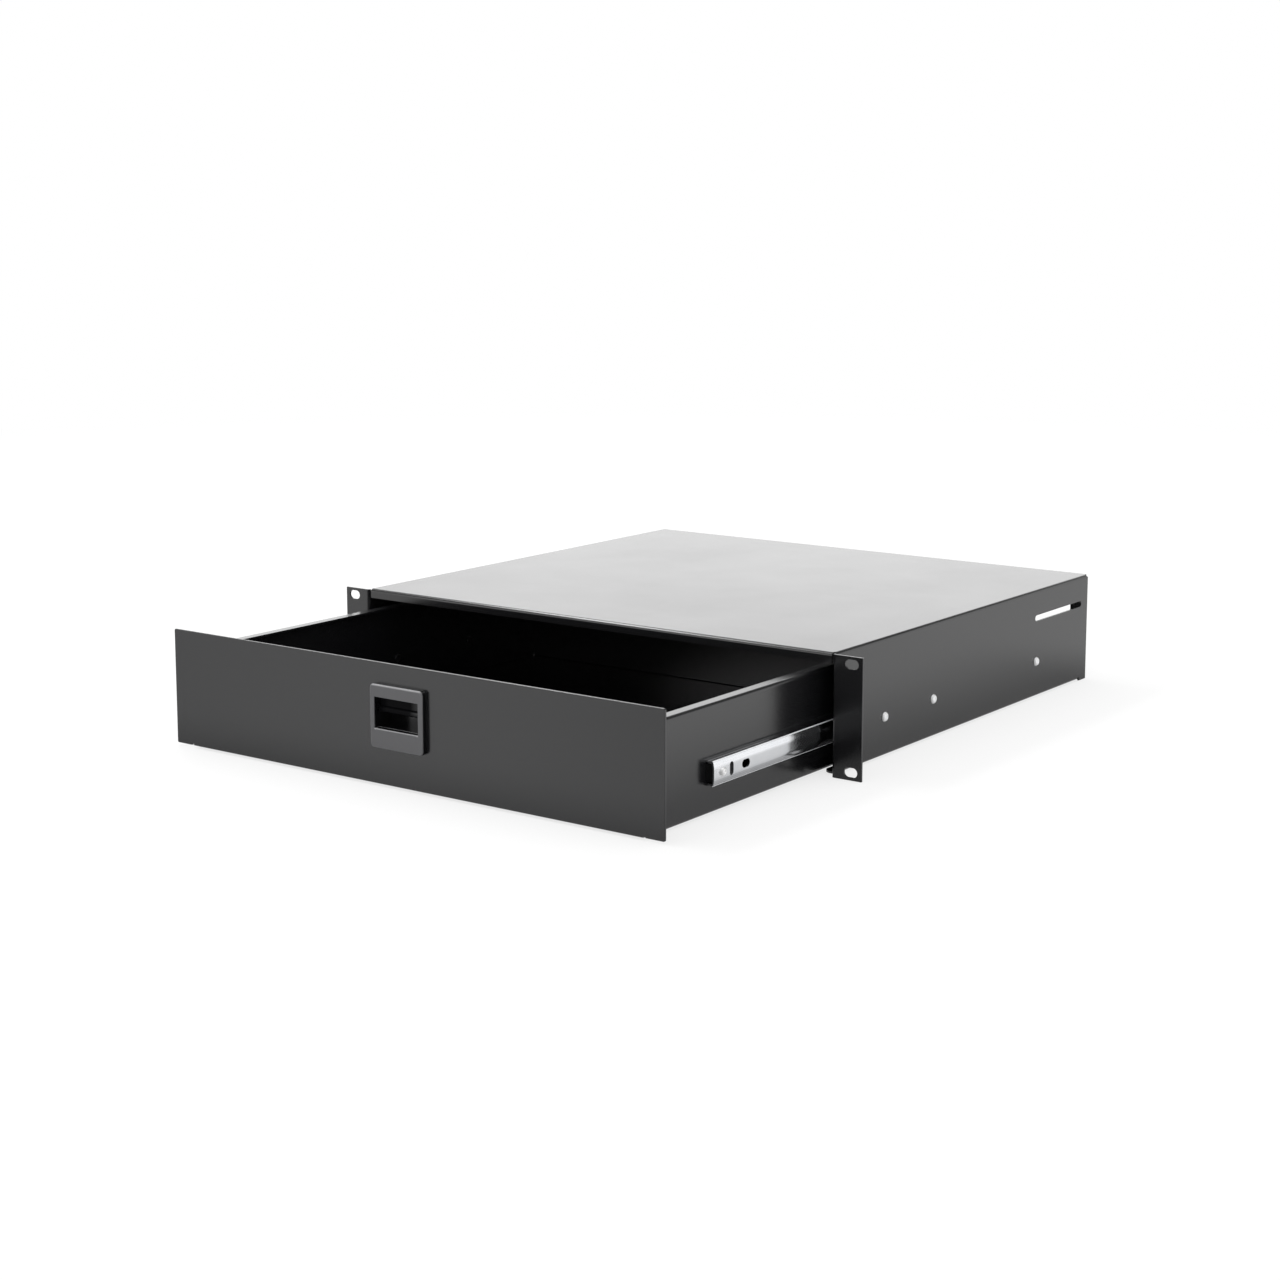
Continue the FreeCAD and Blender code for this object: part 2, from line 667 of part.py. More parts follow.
def snap_barb():
    """Wedge on the housing's right side that springs out behind the panel."""
    front = behind(tray_sheet + cut_out_clearance)
    low = bezel_z - barb_height / 2
    points = [
        V(housing_half - 0.5, front, low),
        V(housing_half + barb_rise, front, low),
        V(housing_half, front + barb_length, low),
        V(housing_half - 0.5, front + barb_length, low),
    ]
    return Part.Face(Part.makePolygon(points + points[:1])).extrude(V(0, 0, barb_height))


def latch_pin():
    return rod(pin_radius, (-housing_half, behind(pivot_back), pivot_z), (1, 0, 0), 2 * housing_half)


def latch_paddle():
    """Finger flap on the pin, with the arm that drives the bolt."""
    half = mouth_width / 2 - paddle_end_gap
    back = behind(pivot_back)
    boss = rod(paddle_boss, (-half, back, pivot_z), (1, 0, 0), 2 * half)
    plate = box(-half, half, back - paddle_sheet / 2, back + paddle_sheet / 2, finger_roll_z, pivot_z)
    roll = rod(finger_roll_radius, (-half, back, finger_roll_z), (1, 0, 0), 2 * half)
    arm = box(-arm_width / 2, arm_width / 2, back, back + arm_length, pivot_z - arm_sheet / 2,
              pivot_z + arm_sheet / 2)
    tip = rod(arm_tip_radius, (-arm_width / 2, back + arm_length, pivot_z), (1, 0, 0), arm_width)
    arm = turned(joined([arm, tip]), (0, back, pivot_z), (1, 0, 0), arm_half_angle)
    bore = rod(pin_radius + pin_clearance, (-half - 1, back, pivot_z), (1, 0, 0), 2 * half + 2)
    return joined([boss, plate, roll, arm]).cut(bore)


def latch_bolt():
    """Spring bolt: the steep front catches the case lip, the long slope behind rides under it."""
    outline = [
        (behind(bolt_front), bolt_head_bottom),
        (behind(bolt_front), bolt_top),
        (behind(bolt_front + bolt_nose), bolt_top),
        (behind(stem_back), bolt_tail_top),
        (behind(stem_back), stem_bottom),
        (behind(stem_front), stem_bottom),
        (behind(stem_front), bolt_head_bottom),
    ]
    bolt = prism_x(outline, bolt_width / 2)
    bolt = rounded_at(bolt, 0.5, (1, 0, 0), [(0, behind(bolt_front), bolt_top)])
    tip_z = pivot_z + arm_length * math.sin(arm_angle)
    half_high = arm_tip_radius + arm_slot_gap
    half_wide = arm_width / 2 + paddle_end_gap
    notch = box(-half_wide, half_wide, behind(stem_front - 1), behind(stem_back + 1), tip_z - half_high,
                tip_z + half_high)
    pocket_radius = spring_coil_radius + spring_wire / 2 + guide_gap / 2
    pocket = rod(pocket_radius, (0, behind(spring_mid), stem_bottom - 1), (0, 0, 1), 1 + spring_pocket)
    return bolt.cut(notch).cut(pocket)


def latch_spring():
    """Coil that pushes the bolt up, between the guide's floor and the pocket in the stem."""
    length = stem_bottom + spring_pocket - spring_seat - spring_wire
    helix = Part.makeHelix(length / spring_turns, length, spring_coil_radius)
    wire = Part.Wire(helix.Edges)
    start = wire.Edges[0].valueAt(wire.Edges[0].FirstParameter)
    profile = Part.Wire([Part.makeCircle(spring_wire / 2, start, V(0, 1, 0))])
    coil = wire.makePipeShell([profile], True, True)
    coil.translate(V(0, behind(spring_mid), spring_seat + spring_wire / 2))
    return coil


def build():
    """Every node of the object, by name."""
    nodes = {
        "case_shell": case_shell(),
        "rear_tie_bar": rear_tie_bar(),
        "tie_bar_rivets": tie_bar_rivets(),
        "drawer_tray": drawer_tray(),
        "latch_housing": latch_housing(),
        "latch_pivot_pin": latch_pin(),
        "latch_paddle": latch_paddle(),
        "latch_bolt": latch_bolt(),
        "latch_spring": latch_spring(),
    }
    handed = {
        "slide_case_member": case_member(),
        "slide_case_rivets": case_rivets(),
        "slide_bumper": slide_bumper(),
        "ball_cage": ball_cage(),
        "slide_balls": slide_balls(),
        "slide_drawer_member": drawer_member(),
        "slide_spacers": spacers(),
        "slide_drawer_rivets": drawer_rivets(),
    }
    for name, shape in handed.items():
        nodes[name + "_right"] = shape
        nodes[name + "_left"] = other_side(shape)
    return nodes


def main():
    os.makedirs("parts", exist_ok=True)
    for name, shape in build().items():
        limits = shape.BoundBox
        print(name, len(shape.Solids), shape.isValid(), round(shape.Volume), limits)
        shape.exportStep(os.path.join("parts", name + ".step"))


main()
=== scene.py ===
# %% [markdown]
# # A sliding rack drawer, dressed for the studio
# The real object is a folded steel case with rack ears and a steel drawer on ball slides. The solids
# come ready-made and fixed; this lesson gives them light, finishes, turned rivets and a coiled spring.
# Every length is in metres, in the frame whose origin is the middle of the rack hole pattern.

# %% Load the fixed frame
import json
import math

import bpy
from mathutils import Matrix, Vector


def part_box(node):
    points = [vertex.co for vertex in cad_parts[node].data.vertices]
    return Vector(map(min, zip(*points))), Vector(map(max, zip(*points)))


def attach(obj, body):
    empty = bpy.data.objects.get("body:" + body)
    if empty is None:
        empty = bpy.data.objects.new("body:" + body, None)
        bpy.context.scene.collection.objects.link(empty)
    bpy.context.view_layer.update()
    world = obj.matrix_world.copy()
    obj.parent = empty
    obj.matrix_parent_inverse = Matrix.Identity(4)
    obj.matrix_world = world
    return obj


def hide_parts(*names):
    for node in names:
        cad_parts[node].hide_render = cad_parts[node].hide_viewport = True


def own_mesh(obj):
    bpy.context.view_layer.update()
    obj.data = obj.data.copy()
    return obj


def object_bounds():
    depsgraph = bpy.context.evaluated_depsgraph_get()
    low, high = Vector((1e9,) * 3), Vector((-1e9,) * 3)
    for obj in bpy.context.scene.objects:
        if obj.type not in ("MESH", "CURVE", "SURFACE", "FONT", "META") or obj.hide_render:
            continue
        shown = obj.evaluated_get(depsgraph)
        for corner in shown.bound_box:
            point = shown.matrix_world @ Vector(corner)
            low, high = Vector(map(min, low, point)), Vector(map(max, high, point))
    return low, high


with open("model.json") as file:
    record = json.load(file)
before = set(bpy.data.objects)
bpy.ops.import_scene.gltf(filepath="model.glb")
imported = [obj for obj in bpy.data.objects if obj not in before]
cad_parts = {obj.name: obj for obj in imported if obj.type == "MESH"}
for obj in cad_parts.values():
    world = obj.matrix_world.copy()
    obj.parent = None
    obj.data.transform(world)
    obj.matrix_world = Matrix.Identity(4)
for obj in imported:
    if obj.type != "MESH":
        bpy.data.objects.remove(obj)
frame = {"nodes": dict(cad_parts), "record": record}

MM = 0.001
cad_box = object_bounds()
nodes = frame["nodes"]

# %% [markdown]
# ## Camera
# A drawer like this is best seen from the front right and a little above, so that the front, the slide
# and the cover all show. A fairly long lens keeps the perspective gentle. A small vertical shift takes
# over part of the tilt, as in a view camera, so that the upright edges lean less.

# %% Camera
CAMERA_PLACE = (1.0162, -1.3175, 0.3586)
CAMERA_TURN = 36.22         # degrees to the left of straight ahead, since it stands on the right
CAMERA_TILT = 8.51          # degrees down
LENS = 63.76
RISE = -0.0847              # vertical shift as a share of the picture's width; below 0 it looks lower


def place_camera():
    """The main camera."""
    data = bpy.data.cameras.new("studio_camera")
    data.lens = LENS
    data.sensor_width = 36.0
    data.shift_y = RISE
    data.clip_start = 0.01
    camera = bpy.data.objects.new("studio_camera", data)
    camera.location = CAMERA_PLACE
    camera.rotation_euler = (math.radians(90 - CAMERA_TILT), 0, math.radians(CAMERA_TURN))
    bpy.context.scene.collection.objects.link(camera)
    bpy.context.scene.camera = camera


place_camera()
bpy.context.scene.view_settings.view_transform = "Standard"
print("lens", LENS, "mm")

# %% [markdown]
# ## A helper for node trees
# Light, finishes and small shapes below are all node trees. Building one is the same three steps over
# and over: add a node, set its options, then fill or link its sockets. One short function does all
# three, so that each tree reads like a recipe.


# %% Node helper
def add_node(tree, kind, inputs=None, **settings):
    """One node with its settings and input values; an input may be a socket to link from."""
    node = tree.nodes.new(kind)
    for name, value in settings.items():
        setattr(node, name, value)
    for name, value in (inputs or {}).items():
        if isinstance(value, bpy.types.NodeSocket):
            tree.links.new(value, node.inputs[name])
        else:
            node.inputs[name].default_value = value
    return node


print("helper:", add_node.__name__)

# %% [markdown]
# ## Light
# Dark satin steel shows mostly what surrounds it, so the room is drawn before any lamp. It is the world,
# because a world has no edges that could show in the faces. To the eye it is plain white. Gloss sees
# its walls: bright ones behind and to the sides, a dim one behind the camera and a dim band above
# the walls, as where soft boxes stop. Rounded folds mirror that band.

# %% Room
WALL_LEVELS = {             # degrees from the front, to the right: how bright the low wall is to gloss
    -180: 1.0, -120: 1.0, -75: 0.60, -53: 0.38, -47: 0.72, -42: 0.98, -37: 0.80, -32: 0.66, -15: 0.35,
    10: 0.08, 55: 0.08,
    80: 0.80, 100: 1.0, 151: 0.96, 158: 0.70, 170: 0.90, 180: 1.0,
}
HEIGHT_LEVELS = {           # sine of the height above the horizon: how bright the room is to gloss
    -1.0: 1.0, 0.30: 1.0, 0.44: 0.15, 0.64: 0.15, 0.78: 1.0, 1.0: 1.0,
}
WALL_TOP = (0.05, 0.30)     # the same sine, where the low wall starts to fade and where it has gone


def level_ramp(tree, value, low, high, levels):
    """Grey levels along a value, from a table of stops."""
    place = add_node(tree, "ShaderNodeMapRange", {"Value": value, "From Min": low, "From Max": high})
    ramp = add_node(tree, "ShaderNodeValToRGB", {"Fac": place.outputs["Result"]})
    stops = ramp.color_ramp.elements
    for spot in sorted(levels):
        stop = stops.new((spot - low) / (high - low))
        stop.color = (levels[spot],) * 3 + (1,)
    stops.remove(stops[0])
    stops.remove(stops[-1])
    return ramp.outputs["Color"]


def studio_room():
    """A world that is plain white to the eye and to matt faces, and has walls to gloss."""
    world = bpy.data.worlds.new("studio_room")
    world.use_nodes = True
    tree = world.node_tree
    tree.nodes.clear()
    way = add_node(tree, "ShaderNodeTexCoord").outputs["Generated"]
    part = add_node(tree, "ShaderNodeSeparateXYZ", {"Vector": way})
    front = add_node(tree, "ShaderNodeMath", {0: part.outputs["Y"], 1: -1.0}, operation="MULTIPLY")
    turn = add_node(tree, "ShaderNodeMath", {0: part.outputs["X"], 1: front.outputs[0]}, operation="ARCTAN2")
    degrees = add_node(tree, "ShaderNodeMath", {0: turn.outputs[0]}, operation="DEGREES")
    wall = level_ramp(tree, degrees.outputs[0], -180.0, 180.0, WALL_LEVELS)
    height = level_ramp(tree, part.outputs["Z"], -1.0, 1.0, HEIGHT_LEVELS)
    above = add_node(tree, "ShaderNodeMapRange", {"Value": part.outputs["Z"], "From Min": WALL_TOP[0],
                                                  "From Max": WALL_TOP[1]})
    wall = add_node(tree, "ShaderNodeMapRange", {"Value": above.outputs[0], "To Min": wall, "To Max": 1.0})
    both = add_node(tree, "ShaderNodeMath", {0: wall.outputs[0], 1: height}, operation="MULTIPLY")
    path = add_node(tree, "ShaderNodeLightPath")
    level = add_node(tree, "ShaderNodeMapRange", {"Value": path.outputs["Is Glossy Ray"], "To Min": 1.0,
                                                  "To Max": both.outputs[0]})
    shine = add_node(tree, "ShaderNodeBackground", {"Color": (1, 1, 1, 1),
                                                    "Strength": level.outputs["Result"]})
    out = add_node(tree, "ShaderNodeOutputWorld")
    tree.links.new(shine.outputs[0], out.inputs["Surface"])
    bpy.context.scene.world = world


studio_room()
print("room:", bpy.context.scene.world.name, "with", len(WALL_LEVELS), "wall levels")

# %% [markdown]
# ## Lamps
# A wide panel low behind the object gives the cover its pale sheen, and two weak ones fill the faces.
# A narrow strip high on the left brightens the folds and rims that face it.

# %% Lamps
LAMPS = {                   # place, the point it faces, width, height, watts
    "rear_panel": ((-1.7, 2.6, 0.75), (0, 0.1, 0), 4.2, 1.6, 17.5),
    "front_left_panel": ((-1.6, -2.2, 0.9), (0, 0, 0), 1.4, 1.2, 4),
    "right_panel": ((2.2, 0.5, 0.9), (0.2, 0.1, 0), 1.2, 1.0, 3),
    "left_strip": ((-1.05, -0.1, 1.45), (0, 0, 0), 1.6, 0.25, 12),
}


def panel_lamp(name, place, aim, width, height, watts):
    """A flat soft lamp that faces a point."""
    data = bpy.data.lights.new(name, "AREA")
    data.shape = "RECTANGLE"
    data.size = width
    data.size_y = height
    data.energy = watts
    lamp = bpy.data.objects.new(name, data)
    lamp.location = place
    lamp.rotation_euler = (Vector(aim) - Vector(place)).to_track_quat("-Z", "Y").to_euler()
    lamp.visible_camera = False
    bpy.context.scene.collection.objects.link(lamp)


for lamp_name, (place, aim, width, height, watts) in LAMPS.items():
    panel_lamp(lamp_name, place, aim, width, height, watts)
    print(lamp_name, watts, "W,", width, "by", height, "m")

# %% [markdown]
# ## Floor
# The floor lies just under the lowest edge, which is the foot of the rack ears. It is plain and pale,
# and keeps the soft shadow of the object. The shadow is made lighter to the eye. To gloss the floor is
# nearly see-through, so that the black faces mirror the walls of the room rather than a pale floor, and
# darker right beside the object, where a real floor is in its shade.

# %% Floor
FLOOR_REACH = 9.0
FLOOR_GLOW = (0.74, 1.0)    # share of plain white mixed in to the eye, near the object and far from it
FLOOR_CLEAR = 0.85          # share that gloss sees through
FLOOR_SHADE = 0.46          # share of the floor that is dark to gloss, right beside the object
FLOOR_NEAR = 0.13           # how far that shade reaches
GLOW_RISE = (0.5, 2.0)      # distances from the object between which the glow rises
SHADE_SETBACK = 50 * MM     # the shade starts this far behind the front of the drawer
FLOOR_TONE = 0.97
SHADE_TONE = 0.02
FLOOR_GAP = 0.2 * MM        # under the lowest edge


def floor_finish():
    """Pale matt floor that the eye and gloss each see in their own way."""
    material = bpy.data.materials.new("pale_floor")
    material.use_nodes = True
    tree = material.node_tree
    tree.nodes.clear()
    path = add_node(tree, "ShaderNodeLightPath")
    place = add_node(tree, "ShaderNodeTexCoord").outputs["Object"]
    low = Vector(cad_box[0]) + Vector((0, SHADE_SETBACK, 0))
    high = Vector(cad_box[1])
    from_middle = add_node(tree, "ShaderNodeVectorMath", {0: place, 1: (low + high) / 2},
                           operation="SUBTRACT")
    one_side = add_node(tree, "ShaderNodeVectorMath", {0: from_middle.outputs[0]}, operation="ABSOLUTE")
    outside = add_node(tree, "ShaderNodeVectorMath", {0: one_side.outputs[0], 1: (high - low) / 2},
                       operation="SUBTRACT")
    beyond = add_node(tree, "ShaderNodeVectorMath", {0: outside.outputs[0], 1: (0, 0, 0)},
                      operation="MAXIMUM")
    distance = add_node(tree, "ShaderNodeVectorMath", {0: beyond.outputs[0]}, operation="LENGTH")
    away = distance.outputs["Value"]
    glow_share = add_node(tree, "ShaderNodeMapRange", {
        "Value": away, "From Min": GLOW_RISE[0], "From Max": GLOW_RISE[1], "To Min": FLOOR_GLOW[0],
        "To Max": FLOOR_GLOW[1]})
    shade_share = add_node(tree, "ShaderNodeMapRange", {"Value": away, "From Max": FLOOR_NEAR,
                                                        "To Min": FLOOR_SHADE, "To Max": 0.0})
    matt = add_node(tree, "ShaderNodeBsdfDiffuse", {"Color": (FLOOR_TONE,) * 3 + (1,)})
    glow = add_node(tree, "ShaderNodeEmission", {"Color": (1, 1, 1, 1), "Strength": 1.0})
    clear = add_node(tree, "ShaderNodeBsdfTransparent")
    dark = add_node(tree, "ShaderNodeBsdfDiffuse", {"Color": (SHADE_TONE,) * 3 + (1,)})
    gloss = path.outputs["Is Glossy Ray"]
    eye = add_node(tree, "ShaderNodeMath", {0: path.outputs["Is Camera Ray"], 1: glow_share.outputs[0]},
                   operation="MULTIPLY")
    seen = add_node(tree, "ShaderNodeMixShader", {0: eye.outputs[0], 1: matt.outputs[0], 2: glow.outputs[0]})
    through = add_node(tree, "ShaderNodeMath", {0: gloss, 1: FLOOR_CLEAR}, operation="MULTIPLY")
    thin = add_node(tree, "ShaderNodeMixShader", {0: through.outputs[0], 1: seen.outputs[0],
                                                  2: clear.outputs[0]})
    beside = add_node(tree, "ShaderNodeMath", {0: gloss, 1: shade_share.outputs[0]}, operation="MULTIPLY")
    whole = add_node(tree, "ShaderNodeMixShader", {0: beside.outputs[0], 1: thin.outputs[0],
                                                   2: dark.outputs[0]})
    out = add_node(tree, "ShaderNodeOutputMaterial")
    tree.links.new(whole.outputs[0], out.inputs["Surface"])
    return material


def pale_floor():
    """A wide floor under the object."""
    z = cad_box[0][2] - FLOOR_GAP
    mesh = bpy.data.meshes.new("floor")
    signs = ((-1, -1), (1, -1), (1, 1), (-1, 1))
    corners = [(FLOOR_REACH * across, FLOOR_REACH * along, z) for across, along in signs]
    mesh.from_pydata(corners, [], [(0, 1, 2, 3)])
    floor = bpy.data.objects.new("floor", mesh)
    bpy.context.scene.collection.objects.link(floor)
    mesh.materials.append(floor_finish())
    print("floor at", round(z, 5), "m")


pale_floor()

# %% [markdown]
# ## Effects shared by several finishes
# Powder coat, moulded plastic and rubber all have a fine even grain, only at other sizes. Rolled and
# plated steel has fine lines along the way it was rolled. Each effect is one node group, used by each
# finish with its own values.


# %% Group helper
def effect(name, inputs, outputs):
    """An empty shader node group with named sockets."""
    tree = bpy.data.node_groups.new(name, "ShaderNodeTree")
    for socket, value in inputs.items():
        kind = "NodeSocketVector" if isinstance(value, tuple) else "NodeSocketFloat"
        made = tree.interface.new_socket(socket, in_out="INPUT", socket_type=kind)
        made.default_value = value
    for socket in outputs:
        tree.interface.new_socket(socket, in_out="OUTPUT", socket_type="NodeSocketFloat")
    return tree, tree.nodes.new("NodeGroupInput"), tree.nodes.new("NodeGroupOutput")


print("helper:", effect.__name__)

# %% [markdown]
# ### Grain
# Sprayed powder melts into fine pebbles, and a mould has much the same texture cut into it. One fine
# noise is the relief. A second, slow one makes tone and gloss drift, as on any large painted face.


# %% Grain
def grain_effect():
    """Fine pebbled grain and slow cloudy variation."""
    tree, given, result = effect("pebble_grain", {"Grain per metre": 900.0, "Cloud per metre": 9.0},
                                 ("Height", "Cloud"))
    place = add_node(tree, "ShaderNodeTexCoord").outputs["Object"]
    fine = add_node(tree, "ShaderNodeTexNoise", {"Vector": place, "Scale": given.outputs["Grain per metre"],
                                                 "Detail": 2.0, "Roughness": 0.55})
    cloud = add_node(tree, "ShaderNodeTexNoise", {"Vector": place, "Scale": given.outputs["Cloud per metre"],
                                                  "Detail": 4.0, "Roughness": 0.6})
    tree.links.new(fine.outputs["Fac"], result.inputs["Height"])
    tree.links.new(cloud.outputs["Fac"], result.inputs["Cloud"])
    return tree


grain = grain_effect()
print(grain.name, "has", len(grain.nodes), "nodes")

# %% [markdown]
# ### Rolled lines
# Strip steel keeps the lines of the rolls along its length. A noise stretched in one direction draws
# them. The bloom is the cloudy look of the zinc.


# %% Rolled lines
def rolled_effect():
    """Long fine lines along Y, and a cloudy bloom as on zinc plate."""
    tree, given, result = effect("rolled_lines", {"Stretch": (1.0, 0.02, 1.0), "Lines per metre": 2600.0,
                                                  "Bloom per metre": 60.0}, ("Lines", "Bloom"))
    place = add_node(tree, "ShaderNodeTexCoord").outputs["Object"]
    long_way = add_node(tree, "ShaderNodeVectorMath", {0: place, 1: given.outputs["Stretch"]},
                        operation="MULTIPLY")
    lines = add_node(tree, "ShaderNodeTexNoise", {"Vector": long_way.outputs[0], "Detail": 1.0,
                                                  "Scale": given.outputs["Lines per metre"]})
    bloom = add_node(tree, "ShaderNodeTexNoise", {"Vector": place, "Detail": 3.0, "Roughness": 0.65,
                                                  "Scale": given.outputs["Bloom per metre"]})
    tree.links.new(lines.outputs["Fac"], result.inputs["Lines"])
    tree.links.new(bloom.outputs["Fac"], result.inputs["Bloom"])
    return tree


rolled = rolled_effect()
print(rolled.name, "has", len(rolled.nodes), "nodes")

# %% [markdown]
# ### Edge wear and painted highlights
# Paint is thin and gets rubbed on a sheet's edges; the powder coat uses this group for that wear, and
# the latch uses it for painted highlights. The group takes a box. A point close to two of its faces at
# once is on an edge, so the closeness to each pair of faces is multiplied. What lies outside the box
# is then masked off.


# %% Edge wear
def edge_effect():
    """A mask that is 1 along the edges of a box given by its centre and half size, and 0 elsewhere."""
    tree, given, result = effect("edge_wear_and_highlight", {"Centre": (0.0, 0.0, 0.0), "Half size": (0.1, 0.1, 0.1),
                                               "Width": 0.0008}, ("Edge",))
    place = add_node(tree, "ShaderNodeTexCoord").outputs["Object"]
    from_middle = add_node(tree, "ShaderNodeVectorMath", {0: place, 1: given.outputs["Centre"]},
                           operation="SUBTRACT")
    one_side = add_node(tree, "ShaderNodeVectorMath", {0: from_middle.outputs[0]}, operation="ABSOLUTE")
    depth = add_node(tree, "ShaderNodeVectorMath", {0: given.outputs["Half size"], 1: one_side.outputs[0]},
                     operation="SUBTRACT")
    gap = add_node(tree, "ShaderNodeVectorMath", {0: depth.outputs[0]}, operation="ABSOLUTE")
    axes = add_node(tree, "ShaderNodeSeparateXYZ", {"Vector": gap.outputs[0]})
    near = [add_node(tree, "ShaderNodeMapRange", {"Value": axes.outputs[axis], "To Min": 1.0, "To Max": 0.0,
                                                  "From Max": given.outputs["Width"]}).outputs["Result"]
            for axis in range(3)]
    both = [add_node(tree, "ShaderNodeMath", {0: near[first], 1: near[second]},
                     operation="MULTIPLY").outputs[0]
            for first, second in ((0, 1), (1, 2), (0, 2))]
    most = add_node(tree, "ShaderNodeMath", {0: both[0], 1: both[1]}, operation="MAXIMUM")
    edge = add_node(tree, "ShaderNodeMath", {0: most.outputs[0], 1: both[2]}, operation="MAXIMUM").outputs[0]
    sides = add_node(tree, "ShaderNodeSeparateXYZ", {"Vector": depth.outputs[0]})
    for axis in range(3):
        within = add_node(tree, "ShaderNodeMath", {0: sides.outputs[axis], 1: given.outputs["Width"]},
                          operation="ADD")
        inside = add_node(tree, "ShaderNodeMath", {0: within.outputs[0], 1: 0.0}, operation="GREATER_THAN")
        edge = add_node(tree, "ShaderNodeMath", {0: edge, 1: inside.outputs[0]},
                        operation="MULTIPLY").outputs[0]
    tree.links.new(edge, result.inputs["Edge"])
    return tree


wear_and_highlight = edge_effect()
print(wear_and_highlight.name, "has", len(wear_and_highlight.nodes), "nodes")

# %% [markdown]
# ## Finishes
# Each finish is one Principled shader. Its colour and roughness drift a little over the surface, and a
# bump node gives the grain its relief, so that no face is one flat tone.


# %% Finish helper
def new_finish(name, metallic=0.0, ior=1.5):
    """A material with a plain Principled shader."""
    material = bpy.data.materials.new(name)
    material.use_nodes = True
    skin = material.node_tree.nodes["Principled BSDF"]
    skin.inputs["Metallic"].default_value = metallic
    skin.inputs["IOR"].default_value = ior
    return material, material.node_tree, skin


def spread(tree, value, low, high):
    """A mask from 0.3 to 0.7 spread to run from low to high."""
    node = add_node(tree, "ShaderNodeMapRange", {"Value": value, "From Min": 0.3, "From Max": 0.7,
                                                 "To Min": low, "To Max": high})
    return node.outputs["Result"]


def two_tones(tree, mask, dark, light):
    """A colour between two tones, by a mask; a tone may be a colour or a socket."""
    node = add_node(tree, "ShaderNodeMix", data_type="RGBA")
    colours = [socket for socket in node.inputs if socket.type == "RGBA"]
    for socket, tone in zip(colours, (dark, light)):
        if isinstance(tone, bpy.types.NodeSocket):
            tree.links.new(tone, socket)
        else:
            socket.default_value = (*tone, 1)
    tree.links.new(mask, node.inputs[0])
    return next(socket for socket in node.outputs if socket.type == "RGBA")


def between(tree, mask, low, high):
    """A value between two, by a mask; either may be a number or a socket."""
    node = add_node(tree, "ShaderNodeMix", data_type="FLOAT")
    numbers = [socket for socket in node.inputs if socket.type == "VALUE"]
    for socket, value in zip(numbers, (mask, low, high)):
        if isinstance(value, bpy.types.NodeSocket):
            tree.links.new(value, socket)
        else:
            socket.default_value = value
    return next(socket for socket in node.outputs if socket.type == "VALUE")


def object_axis(tree, axis):
    """One coordinate of the point being shaded, in the object's own frame."""
    place = add_node(tree, "ShaderNodeTexCoord").outputs["Object"]
    return add_node(tree, "ShaderNodeSeparateXYZ", {"Vector": place}).outputs[axis]


def edge_mask(tree, low, high, width):
    """The edges of the box between two corners: wear on the powder coat, a painted highlight on the latch."""
    low, high = Vector(low), Vector(high)
    node = add_node(tree, "ShaderNodeGroup", node_tree=wear_and_highlight)
    node.inputs["Centre"].default_value = (low + high) / 2
    node.inputs["Half size"].default_value = (high - low) / 2
    node.inputs["Width"].default_value = width
    return node.outputs["Edge"]


def relief(tree, skin, height, strength, depth):
    """A height map becomes a bump of the given depth."""
    bump = add_node(tree, "ShaderNodeBump", {"Height": height, "Strength": strength, "Distance": depth})
    tree.links.new(bump.outputs["Normal"], skin.inputs["Normal"])


print("helpers:", new_finish.__name__, spread.__name__, two_tones.__name__, between.__name__,
      object_axis.__name__, edge_mask.__name__, relief.__name__)

# %% [markdown]
# ### Two families of finish
# Paint, plastic and rubber differ only in tone, gloss and size of grain. Bare and plated metals differ
# only in tone, gloss and how close their lines lie. So every finish starts from one of two functions.

# %% Grained and rolled finishes
WORN_WIDTH = 0.5 * MM
WORN_TONE = (0.03, 0.03, 0.032)
WORN_ROUGHNESS = 0.32
LINE_DEPTH = 0.02 * MM


def grained_finish(name, dark, light, rough, grain_size, strength, depth, ior=1.5, worn=()):
    """A paint, plastic or rubber with pebbled grain; rough is (lowest, highest).

    worn holds boxes (low, high) whose edges are rubbed paler and smoother."""
    material, tree, skin = new_finish(name, ior=ior)
    texture = add_node(tree, "ShaderNodeGroup", node_tree=grain)
    texture.inputs["Grain per metre"].default_value = grain_size
    mask = spread(tree, texture.outputs["Cloud"], 0.0, 1.0)
    colour = two_tones(tree, mask, dark, light)
    dull = spread(tree, texture.outputs["Cloud"], *rough)
    for low, high in worn:
        edge = edge_mask(tree, low, high, WORN_WIDTH)
        colour = two_tones(tree, edge, colour, WORN_TONE)
        dull = between(tree, edge, dull, WORN_ROUGHNESS)
    tree.links.new(colour, skin.inputs["Base Color"])
    tree.links.new(dull, skin.inputs["Roughness"])
    relief(tree, skin, texture.outputs["Height"], strength, depth)
    return material


def rolled_finish(name, dark, light, rough, lines, strength, metallic=1.0):
    """A bare or plated metal with rolling lines."""
    material, tree, skin = new_finish(name, metallic)
    texture = add_node(tree, "ShaderNodeGroup", node_tree=rolled)
    texture.inputs["Lines per metre"].default_value = lines
    mask = spread(tree, texture.outputs["Bloom"], 0.0, 1.0)
    tree.links.new(two_tones(tree, mask, dark, light), skin.inputs["Base Color"])
    tree.links.new(spread(tree, texture.outputs["Bloom"], *rough), skin.inputs["Roughness"])
    relief(tree, skin, texture.outputs["Lines"], strength, LINE_DEPTH)
    return material


print("families:", grained_finish.__name__, rolled_finish.__name__)
